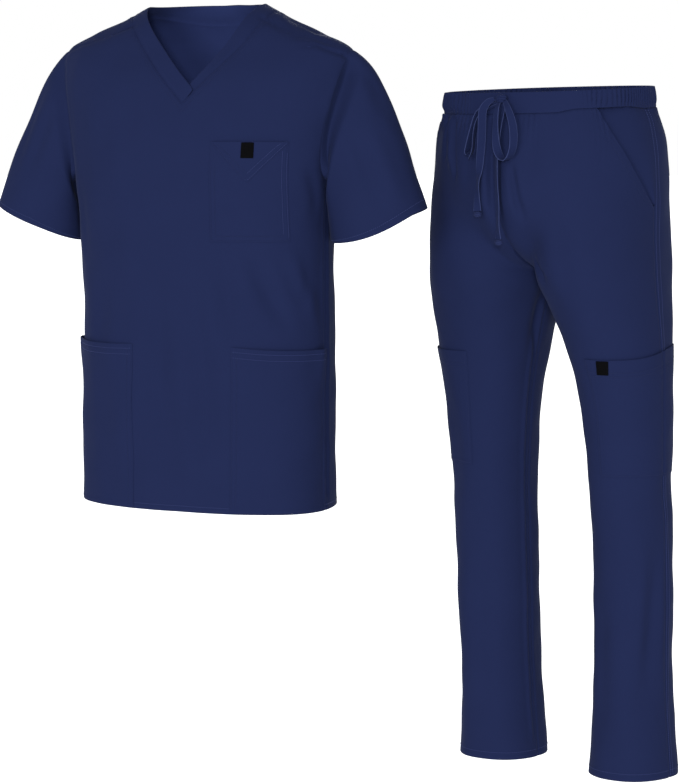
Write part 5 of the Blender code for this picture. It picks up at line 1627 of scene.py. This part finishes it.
def stitch(spots, up):
    """The vertices and faces of one stitch: a short thread with pointed ends, through four places."""
    across = np.cross(up, unit(spots[3] - spots[0]))
    spots = spots + up * (np.array([-0.4, 0.55, 0.55, -0.4]) * THREAD)[:, None]
    turn = 2 * np.pi * np.arange(THREAD_SIDES)[:, None] / THREAD_SIDES
    ring = THREAD * (np.cos(turn) * across + np.sin(turn) * up)
    faces = []
    for k in range(THREAD_SIDES):
        a, b = 1 + k, 1 + (k + 1) % THREAD_SIDES
        far_a, far_b = a + THREAD_SIDES, b + THREAD_SIDES
        faces += [(0, b, a), (a, b, far_b, far_a), (far_a, far_b, 2 * THREAD_SIDES + 1)]
    return [spots[0], *(spots[1] + ring), *(spots[2] + ring), spots[3]], faces


def stitching(name, lines, warp, finish):
    """Joined stitches along lines on the form, each line with the piece that it is sewn through."""
    trees = {piece: BVHTree.FromPolygons(*OUTSIDES[piece]) for piece, _ in lines}
    points, faces = [], []
    for piece, line in lines:
        line = warp(line)
        run = run_of(line)
        for start in np.arange(0.0006, run[-1] - STITCH, STITCH_PITCH):
            where = start + STITCH * np.array([0.0, 0.28, 0.72, 1.0])
            spots = np.stack([np.interp(where, run, line[:, k]) for k in range(3)], -1)
            hits = [trees[piece].find_nearest(Vector(p)) for p in spots]
            spots, sides = stitch(np.array([h[0] for h in hits]), unit(np.array(hits[1][1])))
            faces += [[len(points) + k for k in side] for side in sides]
            points += spots
    mesh_object(name, points, faces, finish)


def top_stitch_lines():
    """The top's rows of stitches, and its rows of finer ones."""
    lines, fine = [], []
    t, round_sleeve = np.linspace(0, 1, 60), np.linspace(0, 2 * np.pi, 90)
    across = np.linspace(0, 1, 40)
    for side, turned in SIDES.items():
        cut = SLEEVE_LEFT if side == "left" else SLEEVE_RIGHT
        lift = LOWER_LIFT_LEFT if side == "left" else LOWER_LIFT_RIGHT
        # beside the neckband's seam
        for drop, reach in zip(NECK_ROWS, (0.985, 1.0)):
            seam = v_line(t * reach, NECK_SEAM_Z - drop * 0.3, 0.0, V_SEAM_Z - drop * 1.5)
            fine.append(("top_front", turned(torso_at(seam))))
        hem = sleeve_point(round_sleeve, 1 - HEM_ROW / SLEEVE_LENGTH, cut)
        lines.append(("top_sleeve_" + side, turned(hem)))
        # the lower pocket
        z = np.linspace(HEM_Z + 0.003, LOWER_POCKET_Z - 0.002, 40)
        for inset in LOWER_EDGE_ROWS:
            fine.append(("top_pocket_" + side, turned(torso_face(LOWER_POCKET_X + inset + 0 * z, z))))
        for drop in LOWER_MOUTH_ROWS:
            z = lower_mouth(across, lift) - drop
            line = TORSO_FORM.point(lower_place(across, z, 0.002, 0.003), z)
            lines.append(("top_pocket_" + side, turned(line)))
    # the hems
    z = HEM_Z + HEM_ROW
    edge = float(TORSO_FORM.angle_at_y(SIDE_SEAM_Y, z))
    lines.append(("top_front", TORSO_FORM.point(np.linspace(-np.pi - edge, edge, 80), z)))
    lines.append(("top_back", TORSO_FORM.point(np.linspace(edge, np.pi - edge, 80), z)))
    # the chest pocket and its facing
    left, right, bottom, top = CHEST_POCKET
    middle, half = (left + right) / 2, (right - left) / 2
    slope = (top - CHEST_POINT_Z) / half * 0.97
    for inset in CHEST_ROWS:
        low_x, low_z = left + inset, bottom + inset
        x = np.concatenate([np.full(20, low_x), np.linspace(low_x, right - inset, 20)[1:]])
        z = np.concatenate([np.linspace(CHEST_POINT_Z + 0.02, low_z, 20), np.full(19, low_z)])
        fine.append(("top_pocket_chest", torso_face(x, z)))
        z = np.linspace(low_z + STITCH_PITCH, top - 0.012, 20)
        lines.append(("top_pocket_chest", torso_face(right - inset + 0 * z, z)))
        for way, rows in ((-1, fine), (1, lines)):
            x = way * np.linspace(0, half - inset * 1.2, 31)
            z = np.minimum(CHEST_POINT_Z + inset * 1.45 + np.abs(x) * slope, top - 0.002)
            rows.append(("top_pocket_chest_facing", torso_face(middle + x, z)))
    fine += [("top_front", line) for line in shoulder_seams()]
    return lines, fine


def trouser_stitch_lines():
    """The rows round the trousers' hems, and those beside the outseams, on the backs."""
    lines = []
    share = np.linspace(0.005, 0.995, 60)
    z = np.linspace(TROUSER_HEM_Z + 0.002, -WAISTBAND - 0.002, 160)
    for side, turned in SIDES.items():
        for panel, surface in (("trouser_front_", trouser_front), ("trouser_back_", trouser_back)):
            hem = surface(share, TROUSER_HEM_Z + TROUSER_HEM_ROW)
            lines.append((panel + side, turned(hem)))
        for inset in OUTSEAM_ROWS:
            lines.append(("trouser_back_" + side, turned(trouser_back(1 - inset, z))))
    return lines


def fine_trouser_lines():
    """The finer rows of the trousers: along the cargo pockets and the slant pockets' mouths."""
    lines = []
    slant_z = np.linspace(SLANT_LOW_Z, -WAISTBAND - 0.002, 60)
    low, high, bottom = CARGO_TURNS[0] + 0.006, CARGO_TURNS[1] - 0.006, CARGO_BOTTOM_Z + 0.003
    turn = np.concatenate([np.full(20, low), np.linspace(low, high, 40)[1:-1], np.full(20, high)])
    down, up = np.linspace(CARGO_TOP_Z - 0.004, bottom, 20), np.linspace(bottom, CARGO_TOP_Z + 0.010, 20)
    edge = LEG_FORM.point(turn * 2 * np.pi, np.concatenate([down, np.full(38, bottom), up]))
    across = np.linspace(0.01, 0.99, 50)
    for side, turned in SIDES.items():
        for inset in SLANT_ROWS:
            line = trouser_front(slant_share(slant_z) - inset, slant_z)
            lines.append(("trouser_front_" + side, turned(line)))
        rows = [LEG_FORM.point(cargo_turn(across), cargo_mouth(across) - drop) for drop in CARGO_MOUTH_ROWS]
        lines += [("trouser_cargo_pocket_" + side, turned(row)) for row in (edge, *rows)]
    return lines


def main():
    make_camera()
    finishes = make_finishes()
    make_drawstring(finishes)
    make_top(finishes)
    make_trousers(finishes)
    rows, fine_rows = top_stitch_lines()
    stitching("top_stitching", rows, hung, finishes["thread"])
    stitching("top_fine_stitching", fine_rows, hung, finishes["fine_thread"])
    stitching("trouser_stitching", trouser_stitch_lines(), placed, finishes["thread"])
    stitching("cargo_stitching", fine_trouser_lines(), placed, finishes["fine_thread"])
    make_light()
    make_floor()


main()
